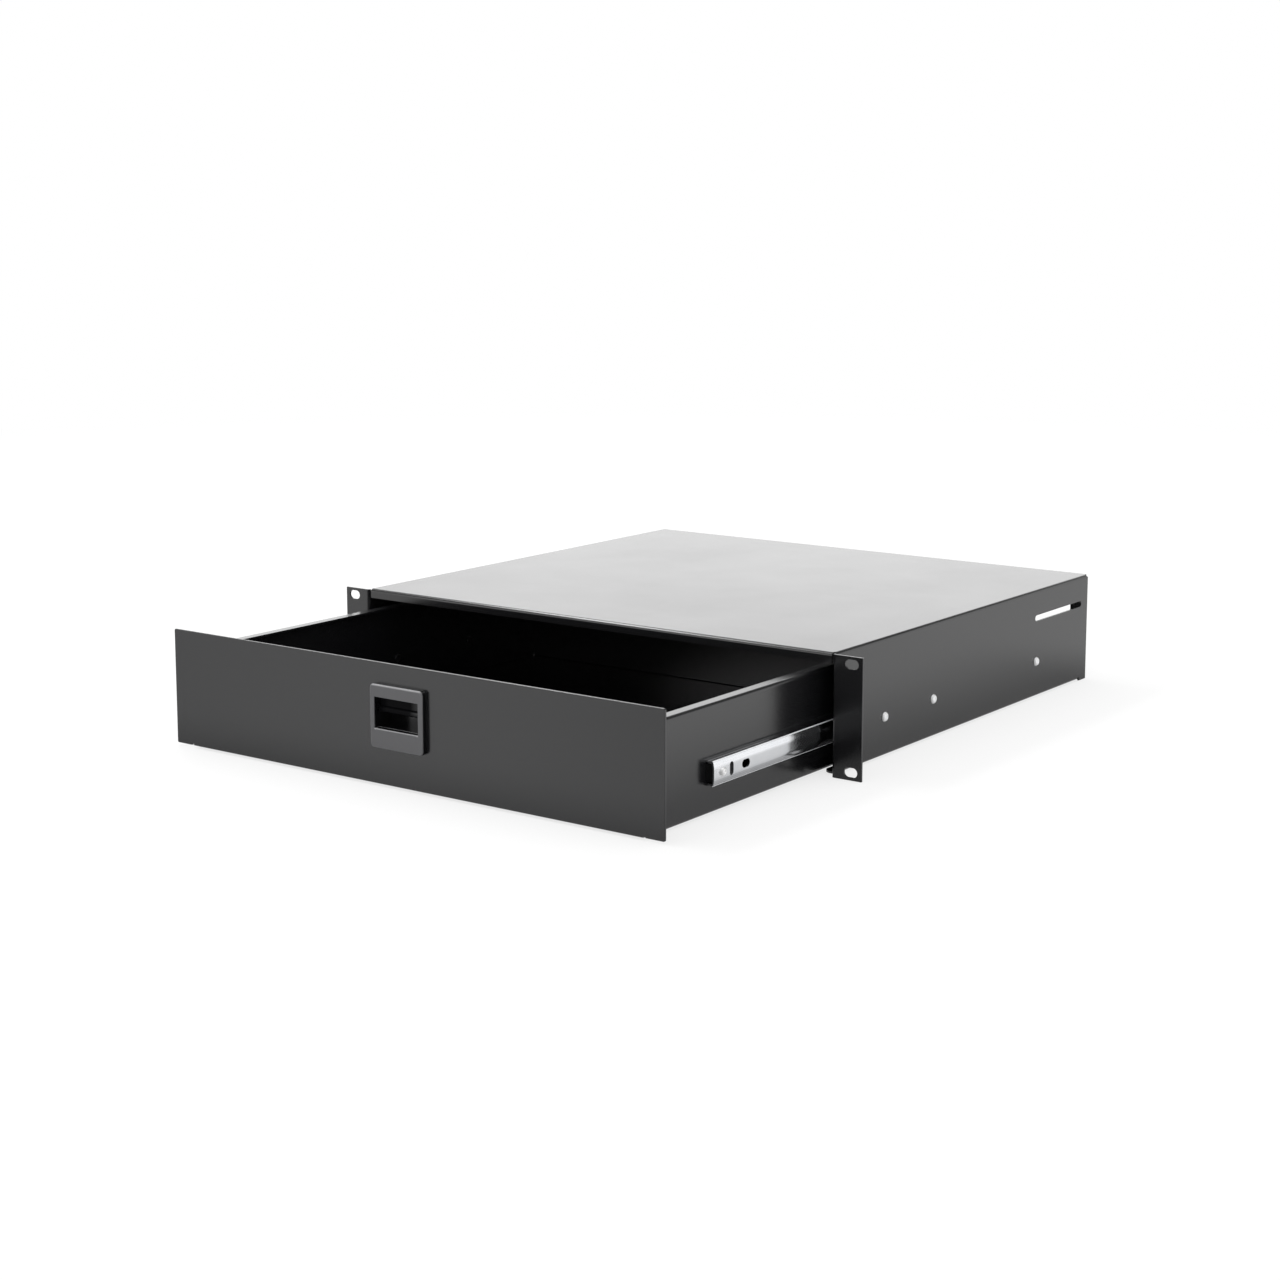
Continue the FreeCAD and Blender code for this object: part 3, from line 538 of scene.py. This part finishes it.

# %% [markdown]
# ## Slide steel
# A ball slide is cold-rolled from zinc-plated strip and bent round the ball races. Its bent faces
# mirror lighter and darker parts of the room, and that is painted into the colour here: painted
# reflection lines darken bands along the web, and the rims along the folds are a painted highlight,
# pale and less metallic. They run the whole length, so one ramp of levels against the height over
# the middle of the slide draws them all, whatever the member's length.

# %% Slide steel
SLIDE_HEIGHT = -13.65 * MM  # the middle of both members
PAINTED_REFLECTION_LEVELS = {            # mm over the middle: how bright the plate is painted; the dips are painted reflection lines
    -14.0: 1.0, -8.8: 1.0, -7.9: 1.0, -7.7: 0.35, -7.3: 0.80, -6.4: 0.85, -6.2: 0.40, -6.0: 0.75,
    -5.0: 0.85, -4.8: 0.50, -4.5: 1.0, 7.6: 1.0, 7.75: 0.60, 7.9: 1.0, 14.0: 1.0,
}
PAINTED_LINE_SPAN = (-15.0, 15.0)   # mm that the ramp covers
PAINTED_LINE_TONE = (0.10, 0.10, 0.11)
HIGHLIGHT_RIM_START = (7.8, 8.3)      # mm from the middle, up or down, where the painted highlight rim begins
WEB_FACE = (210.2 * MM, 210.6 * MM)     # out to the side, where the web's rim is and the flange isn't
HIGHLIGHT_RIM_ROUGHNESS = 0.42
HIGHLIGHT_RIM_METALLIC = 0.1
MM_PER_METRE = 1000.0


def slide_finish():
    """Zinc plate with painted reflection lines and a painted highlight on its rims."""
    material = rolled_finish("zinc_slide_steel", (0.86, 0.88, 0.91), (0.94, 0.95, 0.97), (0.10, 0.18),
                             2600.0, 0.25)
    tree = material.node_tree
    skin = tree.nodes["Principled BSDF"]
    plate = skin.inputs["Base Color"].links[0].from_socket
    dull = skin.inputs["Roughness"].links[0].from_socket
    over = add_node(tree, "ShaderNodeMath", {0: object_axis(tree, "Z"), 1: SLIDE_HEIGHT},
                    operation="SUBTRACT")
    tall = add_node(tree, "ShaderNodeMath", {0: over.outputs[0], 1: MM_PER_METRE}, operation="MULTIPLY")
    painted_lines = level_ramp(tree, tall.outputs[0], *PAINTED_LINE_SPAN, PAINTED_REFLECTION_LEVELS)
    # painted reflection: the ramp darkens the plate's colour in bands along the web
    tree.links.new(two_tones(tree, painted_lines, PAINTED_LINE_TONE, plate), skin.inputs["Base Color"])
    side = add_node(tree, "ShaderNodeMath", {0: tall.outputs[0]}, operation="ABSOLUTE")
    high = add_node(tree, "ShaderNodeMapRange", {"Value": side.outputs[0], "From Min": HIGHLIGHT_RIM_START[0],
                                                 "From Max": HIGHLIGHT_RIM_START[1]})
    out = add_node(tree, "ShaderNodeMath", {0: object_axis(tree, "X")}, operation="ABSOLUTE")
    face = add_node(tree, "ShaderNodeMapRange", {"Value": out.outputs[0], "From Min": WEB_FACE[0],
                                                 "From Max": WEB_FACE[1]})
    # painted highlight: on the rims the plate turns rougher and nearly not metallic, so it shows pale
    highlight_rim = add_node(tree, "ShaderNodeMath", {0: high.outputs[0], 1: face.outputs[0]}, operation="MULTIPLY")
    tree.links.new(between(tree, highlight_rim.outputs[0], dull, HIGHLIGHT_RIM_ROUGHNESS), skin.inputs["Roughness"])
    tree.links.new(between(tree, highlight_rim.outputs[0], 1.0, HIGHLIGHT_RIM_METALLIC), skin.inputs["Metallic"])
    return material


print("painted reflection lines:", len(PAINTED_REFLECTION_LEVELS), "levels")

# %% [markdown]
# ## Latch plastic
# The latch is one dark moulding, its front face spark-eroded to a pale satin. The cup and the sides
# of the frame are polished, and their colour is made near black as painted shade. Depth behind the
# front face tells the two apart. The edge group then paints a pale highlight along the upper rim of
# the frame and the lower lip of the cup.

# %% Latch plastic
FRAME_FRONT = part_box("latch_housing")[0][1]
FRAME_DEPTH = (0.5 * MM, 0.9 * MM)      # behind the front face, where the satin turns to polish and to painted shade
FRAME_BOX = ((-23.8 * MM, FRAME_FRONT, -15.55 * MM), (23.8 * MM, FRAME_FRONT + 5 * MM, 28.75 * MM))
MOUTH_BOX = ((-18.9 * MM, FRAME_FRONT, -1.9 * MM), (18.9 * MM, FRAME_FRONT + 5 * MM, 20 * MM))
FRAME_HIGHLIGHT = {-15.0: 0.02, 20.0: 0.07, 27.0: 0.12, 27.7: 0.95, 29.0: 0.95}   # mm up: share of painted highlight
MOUTH_HIGHLIGHT = {-15.0: 0.8, -1.2: 0.8, -0.6: 0.0, 29.0: 0.0}
RIM_SPAN = (-16.0, 30.0)    # mm that both ramps cover
FRAME_RIM_WIDTH = 1.5 * MM
MOUTH_RIM_WIDTH = 0.9 * MM
PAINTED_SHADE_TONE = (0.004, 0.004, 0.0045)
POLISHED_ROUGHNESS = 0.16
PAINTED_HIGHLIGHT_TONE = (0.45, 0.45, 0.46)


def latch_frame_finish():
    """Satin front, polished cup and sides in painted shade, rims with a painted highlight."""
    material = grained_finish("black_plastic", (0.078, 0.078, 0.082), (0.088, 0.088, 0.092), (0.38, 0.46),
                              2200.0, 0.10, 0.05 * MM)
    tree = material.node_tree
    skin = tree.nodes["Principled BSDF"]
    satin = skin.inputs["Base Color"].links[0].from_socket
    dull = skin.inputs["Roughness"].links[0].from_socket
    polish_and_shade = add_node(tree, "ShaderNodeMapRange", {"Value": object_axis(tree, "Y"),
                                                   "From Min": FRAME_FRONT + FRAME_DEPTH[0],
                                                   "From Max": FRAME_FRONT + FRAME_DEPTH[1]})
    polish_and_shade = polish_and_shade.outputs["Result"]
    # painted shade: the cup and the sides of the frame are made near black
    colour = two_tones(tree, polish_and_shade, satin, PAINTED_SHADE_TONE)
    smooth = between(tree, polish_and_shade, dull, POLISHED_ROUGHNESS)
    highlight_rims = [edge_mask(tree, *FRAME_BOX, FRAME_RIM_WIDTH), edge_mask(tree, *MOUTH_BOX, MOUTH_RIM_WIDTH)]
    tall = add_node(tree, "ShaderNodeMath", {0: object_axis(tree, "Z"), 1: MM_PER_METRE},
                    operation="MULTIPLY")
    for highlight_rim, levels in zip(highlight_rims, (FRAME_HIGHLIGHT, MOUTH_HIGHLIGHT)):
        where = level_ramp(tree, tall.outputs[0], *RIM_SPAN, levels)
        # painted highlight: the upper rim of the frame and the cup's lower lip are made pale
        painted_highlight = add_node(tree, "ShaderNodeMath", {0: highlight_rim, 1: where}, operation="MULTIPLY").outputs[0]
        colour = two_tones(tree, painted_highlight, colour, PAINTED_HIGHLIGHT_TONE)
    tree.links.new(colour, skin.inputs["Base Color"])
    tree.links.new(smooth, skin.inputs["Roughness"])
    return material


print("frame front at", round(FRAME_FRONT, 5), "m")

# %% [markdown]
# ## Painted rivet tails
# The drawer rivets go right through the tray's side. Their heads stay bright on the slide. Their tails
# are as dark as the paint inside the tray, so the distance from the middle picks the tone.

# %% Painted rivet tails
TAIL_END = (204 * MM, 205 * MM)         # out to the side: painted up to here, bright from there
PAINTED_TONE = (0.0055, 0.0056, 0.0062)
HEAD_METALLIC = 0.55


def drawer_rivet_finish():
    """Bright head on the slide, dark tail inside the tray."""
    material = rolled_finish("drawer_rivet_steel", (0.84, 0.85, 0.86), (0.93, 0.93, 0.93), (0.24, 0.34),
                             1800.0, 0.1, HEAD_METALLIC)
    tree = material.node_tree
    skin = tree.nodes["Principled BSDF"]
    bright = skin.inputs["Base Color"].links[0].from_socket
    out = add_node(tree, "ShaderNodeMath", {0: object_axis(tree, "X")}, operation="ABSOLUTE")
    head = add_node(tree, "ShaderNodeMapRange", {"Value": out.outputs[0], "From Min": TAIL_END[0],
                                                 "From Max": TAIL_END[1]}).outputs["Result"]
    tree.links.new(two_tones(tree, head, PAINTED_TONE, bright), skin.inputs["Base Color"])
    tree.links.new(between(tree, head, 0.0, HEAD_METALLIC), skin.inputs["Metallic"])
    return material


print("painted from the middle out to", round(TAIL_END[0], 5), "m")

# %% [markdown]
# ## Latch paddle
# The paddle is black plastic with almost no sheen. Towards its right end a clear coat gives it a
# little polish, so that the flap can be told from the dark cup behind it.

# %% Latch paddle
PADDLE_POLISH = (8 * MM, 17 * MM)       # across: where the polish starts and where it is full
PADDLE_SHEEN = 0.02
PADDLE_COAT_ROUGHNESS = 0.14


def paddle_finish():
    """Dull black moulding with a polished right end."""
    material = grained_finish("latch_plastic", (0.003, 0.003, 0.0035), (0.005, 0.005, 0.0055), (0.14, 0.18),
                              1500.0, 0.05, 0.05 * MM)
    tree = material.node_tree
    skin = tree.nodes["Principled BSDF"]
    skin.inputs["Specular IOR Level"].default_value = PADDLE_SHEEN
    skin.inputs["Coat Roughness"].default_value = PADDLE_COAT_ROUGHNESS
    polished = add_node(tree, "ShaderNodeMapRange", {"Value": object_axis(tree, "X"),
                                                     "From Min": PADDLE_POLISH[0],
                                                     "From Max": PADDLE_POLISH[1]}).outputs["Result"]
    tree.links.new(polished, skin.inputs["Coat Weight"])
    return material


print("paddle polish from", PADDLE_POLISH[0], "to", PADDLE_POLISH[1], "m")

# %% [markdown]
# ## All the finishes
# The record gives each solid a slot, and each slot has one finish here. The powder coat is worn along
# the edges of the front panel and of the rack ears, which get bumped most. Spacers and drawer rivets
# have finishes of their own.

# %% Finishes by the slots of the record
SHEET = 1.5 * MM
tray_low, tray_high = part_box("drawer_tray")
case_low, case_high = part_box("case_shell")
FRONT_PANEL = (tuple(tray_low), (tray_high[0], tray_low[1] + SHEET, tray_high[2]))
RACK_EARS = (tuple(case_low), (case_high[0], case_low[1] + SHEET, case_high[2]))
finishes = {
    "black_powder_coat": grained_finish("black_powder_coat", (0.0052, 0.0053, 0.0061),
                                        (0.0070, 0.0071, 0.0079), (0.20, 0.23), 1400.0, 0.02, 0.05 * MM,
                                        1.72, (FRONT_PANEL, RACK_EARS)),
    "black_plastic": latch_frame_finish(),
    "latch_plastic": paddle_finish(),
    "spacer_plastic": grained_finish("spacer_plastic", (0.004, 0.004, 0.0045), (0.006, 0.006, 0.0065),
                                     (0.28, 0.36), 1500.0, 0.05, 0.05 * MM),
    "rubber_bumper": grained_finish("rubber_bumper", (0.012, 0.012, 0.012), (0.02, 0.02, 0.02),
                                    (0.7, 0.85), 1500.0, 0.3, 0.1 * MM),
    "zinc_slide_steel": slide_finish(),
    "steel_rivet": rolled_finish("steel_rivet", (0.84, 0.85, 0.86), (0.93, 0.93, 0.93), (0.26, 0.38),
                                 1800.0, 0.1, 0.45),
    "drawer_rivet_steel": drawer_rivet_finish(),
    "cage_steel": rolled_finish("cage_steel", (0.55, 0.56, 0.57), (0.66, 0.67, 0.68), (0.25, 0.35),
                                2000.0, 0.2),
    "ball_chrome": rolled_finish("ball_chrome", (0.74, 0.74, 0.75), (0.78, 0.78, 0.79), (0.05, 0.08),
                                 900.0, 0.02),
    "spring_steel": rolled_finish("spring_steel", (0.42, 0.42, 0.43), (0.52, 0.52, 0.53), (0.25, 0.35),
                                  3000.0, 0.1),
}
print("finishes:", ", ".join(sorted(finishes)))

# %% [markdown]
# ## Dress the solids
# The solids arrive plain. Going through the record's own list means that none is left out.


# %% Dress the solids
def dress_solids():
    """Each solid takes the finish of its slot in the record."""
    for part in frame["record"]["subparts"]:
        solid = nodes[part["node"]]
        if not solid.data.materials:
            solid.data.materials.append(None)
        name = "spacer_plastic" if "spacers" in part["node"] else part["material_slot"]
        for slot in solid.material_slots:
            slot.material = finishes[name]


dress_solids()

# %% [markdown]
# ## Rivets
# A rivet is a body of revolution: a domed head with the small dish that the setting tool leaves, a
# shank, and a tail that is upset on the far side. The same shape sits at sixteen places, so it is made
# once by Geometry Nodes and repeated. A grid is rolled up: its rows follow a table of profile steps and
# its columns go round the axis. The heads then take the place of the plain ones of the solids.

# %% Rivet profile
PROFILE = [                 # from the head's middle to the tail's: radius size, share, height size, share
    ("Head radius", 0.00, "Head height", 0.80), ("Head radius", 0.15, "Head height", 0.80),
    ("Head radius", 0.24, "Head height", 0.85), ("Head radius", 0.29, "Head height", 0.96),
    ("Head radius", 0.35, "Head height", 1.00), ("Head radius", 0.50, "Head height", 0.98),
    ("Head radius", 0.66, "Head height", 0.88), ("Head radius", 0.80, "Head height", 0.70),
    ("Head radius", 0.92, "Head height", 0.44), ("Head radius", 0.98, "Head height", 0.20),
    ("Head radius", 1.00, "Head height", 0.06), ("Head radius", 0.98, "Head height", 0.00),
    ("Shank radius", 1.00, "Head height", 0.00), ("Shank radius", 1.00, "Tail start", -1.00),
    ("Tail radius", 1.00, "Tail start", -1.00), ("Tail radius", 1.00, "Tail end", -0.92),
    ("Tail radius", 0.86, "Tail end", -1.00), ("Tail radius", 0.00, "Tail end", -1.00),
]
RIVET_SIZES = ("Head radius", "Head height", "Shank radius", "Tail start", "Tail radius", "Tail end")
print("profile steps:", len(PROFILE))

# %% [markdown]
# ### The rivet's node tree
# The grid has one row for each profile step and one column for each side. The switch gives each row
# its radius and height, and a sine and a cosine wrap the columns round the axis. Sharp corners stay
# crisp because only slight bends are shaded smooth.

# %% Rivet tree
SEAM = 2e-6                 # points closer than this are one, in metres
CRISP_BEND = 0.75           # radians; a sharper edge stays crisp


def profile_switch(tree, given, step, column):
    """The radius (column 0) or the height (column 2) at each step of the profile."""
    pick = add_node(tree, "GeometryNodeIndexSwitch", data_type="FLOAT")
    while len(pick.index_switch_items) < len(PROFILE):
        pick.index_switch_items.new()
    tree.links.new(step, pick.inputs[0])
    for number, row in enumerate(PROFILE):
        size = add_node(tree, "ShaderNodeMath", {0: given.outputs[row[column]], 1: row[column + 1]},
                        operation="MULTIPLY")
        tree.links.new(size.outputs[0], pick.inputs[1 + number])
    return pick.outputs[0]


def rivet_tree():
    """Node tree: a point mesh in, one turned rivet at each point out."""
    tree = bpy.data.node_groups.new("turned_rivets", "GeometryNodeTree")
    tree.interface.new_socket("Places", in_out="INPUT", socket_type="NodeSocketGeometry")
    for name in RIVET_SIZES:
        tree.interface.new_socket(name, in_out="INPUT", socket_type="NodeSocketFloat")
    tree.interface.new_socket("Facing", in_out="INPUT", socket_type="NodeSocketVector")
    tree.interface.new_socket("Sides", in_out="INPUT", socket_type="NodeSocketInt")
    tree.interface.new_socket("Finish", in_out="INPUT", socket_type="NodeSocketMaterial")
    tree.interface.new_socket("Rivets", in_out="OUTPUT", socket_type="NodeSocketGeometry")
    given, result = tree.nodes.new("NodeGroupInput"), tree.nodes.new("NodeGroupOutput")
    columns = add_node(tree, "ShaderNodeMath", {0: given.outputs["Sides"], 1: 1.0}, operation="ADD")
    grid = add_node(tree, "GeometryNodeMeshGrid", {"Size X": 1.0, "Size Y": 1.0, "Vertices X": len(PROFILE),
                                                   "Vertices Y": columns.outputs[0]})
    position = add_node(tree, "GeometryNodeInputPosition")
    spot = add_node(tree, "ShaderNodeSeparateXYZ", {"Vector": position.outputs[0]})
    last = len(PROFILE) - 1
    along = add_node(tree, "ShaderNodeMath", {0: spot.outputs["X"], 1: last, 2: last / 2},
                     operation="MULTIPLY_ADD")
    step = add_node(tree, "ShaderNodeMath", {0: along.outputs[0]}, operation="ROUND")
    turn = add_node(tree, "ShaderNodeMath", {0: spot.outputs["Y"], 1: 2 * math.pi}, operation="MULTIPLY")
    cosine = add_node(tree, "ShaderNodeMath", {0: turn.outputs[0]}, operation="COSINE")
    sine = add_node(tree, "ShaderNodeMath", {0: turn.outputs[0]}, operation="SINE")
    radius = profile_switch(tree, given, step.outputs[0], 0)
    height = profile_switch(tree, given, step.outputs[0], 2)
    across = add_node(tree, "ShaderNodeMath", {0: radius, 1: cosine.outputs[0]}, operation="MULTIPLY")
    aside = add_node(tree, "ShaderNodeMath", {0: radius, 1: sine.outputs[0]}, operation="MULTIPLY")
    rolled_up = add_node(tree, "ShaderNodeCombineXYZ", {"X": across.outputs[0], "Y": aside.outputs[0],
                                                        "Z": height})
    turned = add_node(tree, "GeometryNodeSetPosition", {"Geometry": grid.outputs["Mesh"],
                                                        "Position": rolled_up.outputs[0]})
    closed = add_node(tree, "GeometryNodeMergeByDistance", {"Geometry": turned.outputs[0], "Distance": SEAM})
    soft = add_node(tree, "GeometryNodeSetShadeSmooth", {"Geometry": closed.outputs[0], "Shade Smooth": True})
    bend = add_node(tree, "GeometryNodeInputMeshEdgeAngle").outputs["Unsigned Angle"]
    slight = add_node(tree, "ShaderNodeMath", {0: bend, 1: CRISP_BEND}, operation="LESS_THAN")
    crisp = add_node(tree, "GeometryNodeSetShadeSmooth", {"Geometry": soft.outputs[0],
                                                          "Shade Smooth": slight.outputs[0]}, domain="EDGE")
    put = add_node(tree, "GeometryNodeInstanceOnPoints", {"Points": given.outputs["Places"],
                                                          "Instance": crisp.outputs[0],
                                                          "Rotation": given.outputs["Facing"]})
    real = add_node(tree, "GeometryNodeRealizeInstances", {"Geometry": put.outputs[0]})
    dressed = add_node(tree, "GeometryNodeSetMaterial", {"Geometry": real.outputs[0],
                                                         "Material": given.outputs["Finish"]})
    tree.links.new(dressed.outputs[0], result.inputs["Rivets"])
    return tree


turned_rivets = rivet_tree()
print(turned_rivets.name, "has", len(turned_rivets.nodes), "nodes")

# %% [markdown]
# ### From a tree to a plain mesh
# A node tree is a recipe, and the hand-over wants finished meshes. The tree runs once on a holder
# object, its result is copied to a plain mesh, and the holder goes.


# %% From a tree to a plain mesh
def grown(name, start, tree, values):
    """The mesh that a tree makes from some starting points, as a plain object without the modifier."""
    mesh = bpy.data.meshes.new(name + "_start")
    mesh.from_pydata(start, [], [])
    holder = bpy.data.objects.new(name + "_start", mesh)
    bpy.context.scene.collection.objects.link(holder)
    work = holder.modifiers.new(tree.name, "NODES")
    work.node_group = tree
    for item in tree.interface.items_tree:
        if item.in_out == "INPUT" and item.name in values:
            work[item.identifier] = values[item.name]
    depsgraph = bpy.context.evaluated_depsgraph_get()
    piece = bpy.data.objects.new(name, bpy.data.meshes.new_from_object(holder.evaluated_get(depsgraph)))
    bpy.context.scene.collection.objects.link(piece)
    bpy.data.objects.remove(holder)
    piece.data.name = name
    return piece


print("helper:", grown.__name__)

# %% [markdown]
# ### Rows of rivets
# The case rivets hold the slides to the case, and the drawer rivets join slide, spacer and tray. How
# far back each one sits is read from the plain rivets of the solids. Its height and its distance from
# the middle are named sizes.

# %% Rows of rivets
RIVET_SIDES = 28
ROW_GAP = 15 * MM           # points further apart than this belong to two rivets
CASE_WALL = 218.5 * MM
DRAWER_WEB = 212 * MM
CASE_RIVET = (3.6 * MM, 2.0 * MM, 2.0 * MM, 2.6 * MM, 2.0 * MM, 2.7 * MM)   # as in RIVET_SIZES
DRAWER_RIVET = (3.1 * MM, 2.3 * MM, 2.0 * MM, 8.0 * MM, 3.2 * MM, 9.2 * MM)
TIE_RIVET = (3.2 * MM, 1.4 * MM, 2.0 * MM, 3.5 * MM, 3.0 * MM, 4.3 * MM)
TIE_PLACES = [(sign * 209.25 * MM, 404 * MM, z * MM) for sign in (-1, 1) for z in (-35.4, -24.4)]


def rivet_row(name, places, sizes, facing, finish="steel_rivet"):
    """A plain mesh of rivets at the given places."""
    values = dict(zip(RIVET_SIZES, sizes))
    values.update({"Facing": facing, "Sides": RIVET_SIDES, "Finish": finishes[finish]})
    return grown(name, places, turned_rivets, values)


def row_along_slide(node, x):
    """The middles of the rivets of a node, read from its solids, on the face at x."""
    lows = sorted({round(vertex.co.y, 6) for vertex in nodes[node].data.vertices})
    groups = [[lows[0]]]
    for low in lows[1:]:
        if low - groups[-1][-1] > ROW_GAP:
            groups.append([])
        groups[-1].append(low)
    return [(x, (group[0] + group[-1]) / 2, SLIDE_HEIGHT) for group in groups]


rows = []
for side, sign in (("left", -1), ("right", 1)):
    facing = (0, sign * math.pi / 2, 0)
    node = "slide_case_rivets_" + side
    row = rivet_row("case_rivets_" + side, row_along_slide(node, sign * CASE_WALL), CASE_RIVET, facing)
    rows.append((row, node, "case"))
    node = "slide_drawer_rivets_" + side
    row = rivet_row("drawer_rivets_" + side, row_along_slide(node, sign * DRAWER_WEB), DRAWER_RIVET,
                    facing, "drawer_rivet_steel")
    rows.append((row, node, "drawer"))
row = rivet_row("tie_rivets", TIE_PLACES, TIE_RIVET, (-math.pi / 2, 0, 0))
rows.append((row, "tie_bar_rivets", "case"))
for row, node, body in rows:
    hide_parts(node)
    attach(row, body)
    print(row.name, len(row.data.polygons), "faces, reach", [round(v, 4) for v in row.bound_box[0]])

# %% [markdown]
# ## Latch spring
# A small coil spring pushes the bolt up and gets shorter when the paddle is pulled. Its wire follows a
# rule, so it is a spiral curve in Geometry Nodes with a round section swept along it.

# %% Spring tree
SPRING = {"Turns": 8.0, "Coil radius": 1.9 * MM, "Wire radius": 0.2 * MM, "Length": 13.6 * MM}
SPRING_SEAT = (0, -187.4 * MM, 2.0 * MM)
SPRING_STEPS = 28           # points in each turn
WIRE_SIDES = 10


def spring_tree():
    """Node tree: a point in, one coil spring standing on it out."""
    tree = bpy.data.node_groups.new("coil_spring", "GeometryNodeTree")
    tree.interface.new_socket("Seat", in_out="INPUT", socket_type="NodeSocketGeometry")
    for name in SPRING:
        tree.interface.new_socket(name, in_out="INPUT", socket_type="NodeSocketFloat")
    tree.interface.new_socket("Finish", in_out="INPUT", socket_type="NodeSocketMaterial")
    tree.interface.new_socket("Spring", in_out="OUTPUT", socket_type="NodeSocketGeometry")
    given, result = tree.nodes.new("NodeGroupInput"), tree.nodes.new("NodeGroupOutput")
    spiral = add_node(tree, "GeometryNodeCurveSpiral", {
        "Resolution": SPRING_STEPS, "Rotations": given.outputs["Turns"],
        "Start Radius": given.outputs["Coil radius"], "End Radius": given.outputs["Coil radius"],
        "Height": given.outputs["Length"]})
    section = add_node(tree, "GeometryNodeCurvePrimitiveCircle", {"Resolution": WIRE_SIDES,
                                                                  "Radius": given.outputs["Wire radius"]})
    wire = add_node(tree, "GeometryNodeCurveToMesh", {"Curve": spiral.outputs["Curve"],
                                                      "Profile Curve": section.outputs["Curve"],
                                                      "Fill Caps": True})
    lift = add_node(tree, "ShaderNodeCombineXYZ", {"Z": given.outputs["Wire radius"]})
    lifted = add_node(tree, "GeometryNodeTransform", {"Geometry": wire.outputs[0],
                                                      "Translation": lift.outputs[0]})
    put = add_node(tree, "GeometryNodeInstanceOnPoints", {"Points": given.outputs["Seat"],
                                                          "Instance": lifted.outputs[0]})
    real = add_node(tree, "GeometryNodeRealizeInstances", {"Geometry": put.outputs[0]})
    soft = add_node(tree, "GeometryNodeSetShadeSmooth", {"Geometry": real.outputs[0], "Shade Smooth": True})
    dressed = add_node(tree, "GeometryNodeSetMaterial", {"Geometry": soft.outputs[0],
                                                         "Material": given.outputs["Finish"]})
    tree.links.new(dressed.outputs[0], result.inputs["Spring"])
    return tree


coil_spring = spring_tree()
print(coil_spring.name, "has", len(coil_spring.nodes), "nodes")

# %% [markdown]
# ### The spring in its place
# The tree runs once with the real sizes. The piece rides on the drawer, and the printed boxes show how
# well it fills the room of the plain solid that it stands for.

# %% Spring
spring_values = {**SPRING, "Finish": finishes["spring_steel"]}
spring = grown("latch_coil_spring", [SPRING_SEAT], coil_spring, spring_values)
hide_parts("latch_spring")
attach(spring, "drawer")
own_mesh(spring)
low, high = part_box("latch_spring")
print("spring in the solids:", [round(v, 5) for v in low], [round(v, 5) for v in high])
print("spring here:", [round(min(v.co[i] for v in spring.data.vertices), 5) for i in range(3)],
      [round(max(v.co[i] for v in spring.data.vertices), 5) for i in range(3)])

# %% [markdown]
# ## Finish
# The last cell prints the box of the solids.

# %% Box of the solids
print("box of the solids:", [[round(v, 4) for v in corner] for corner in cad_box])
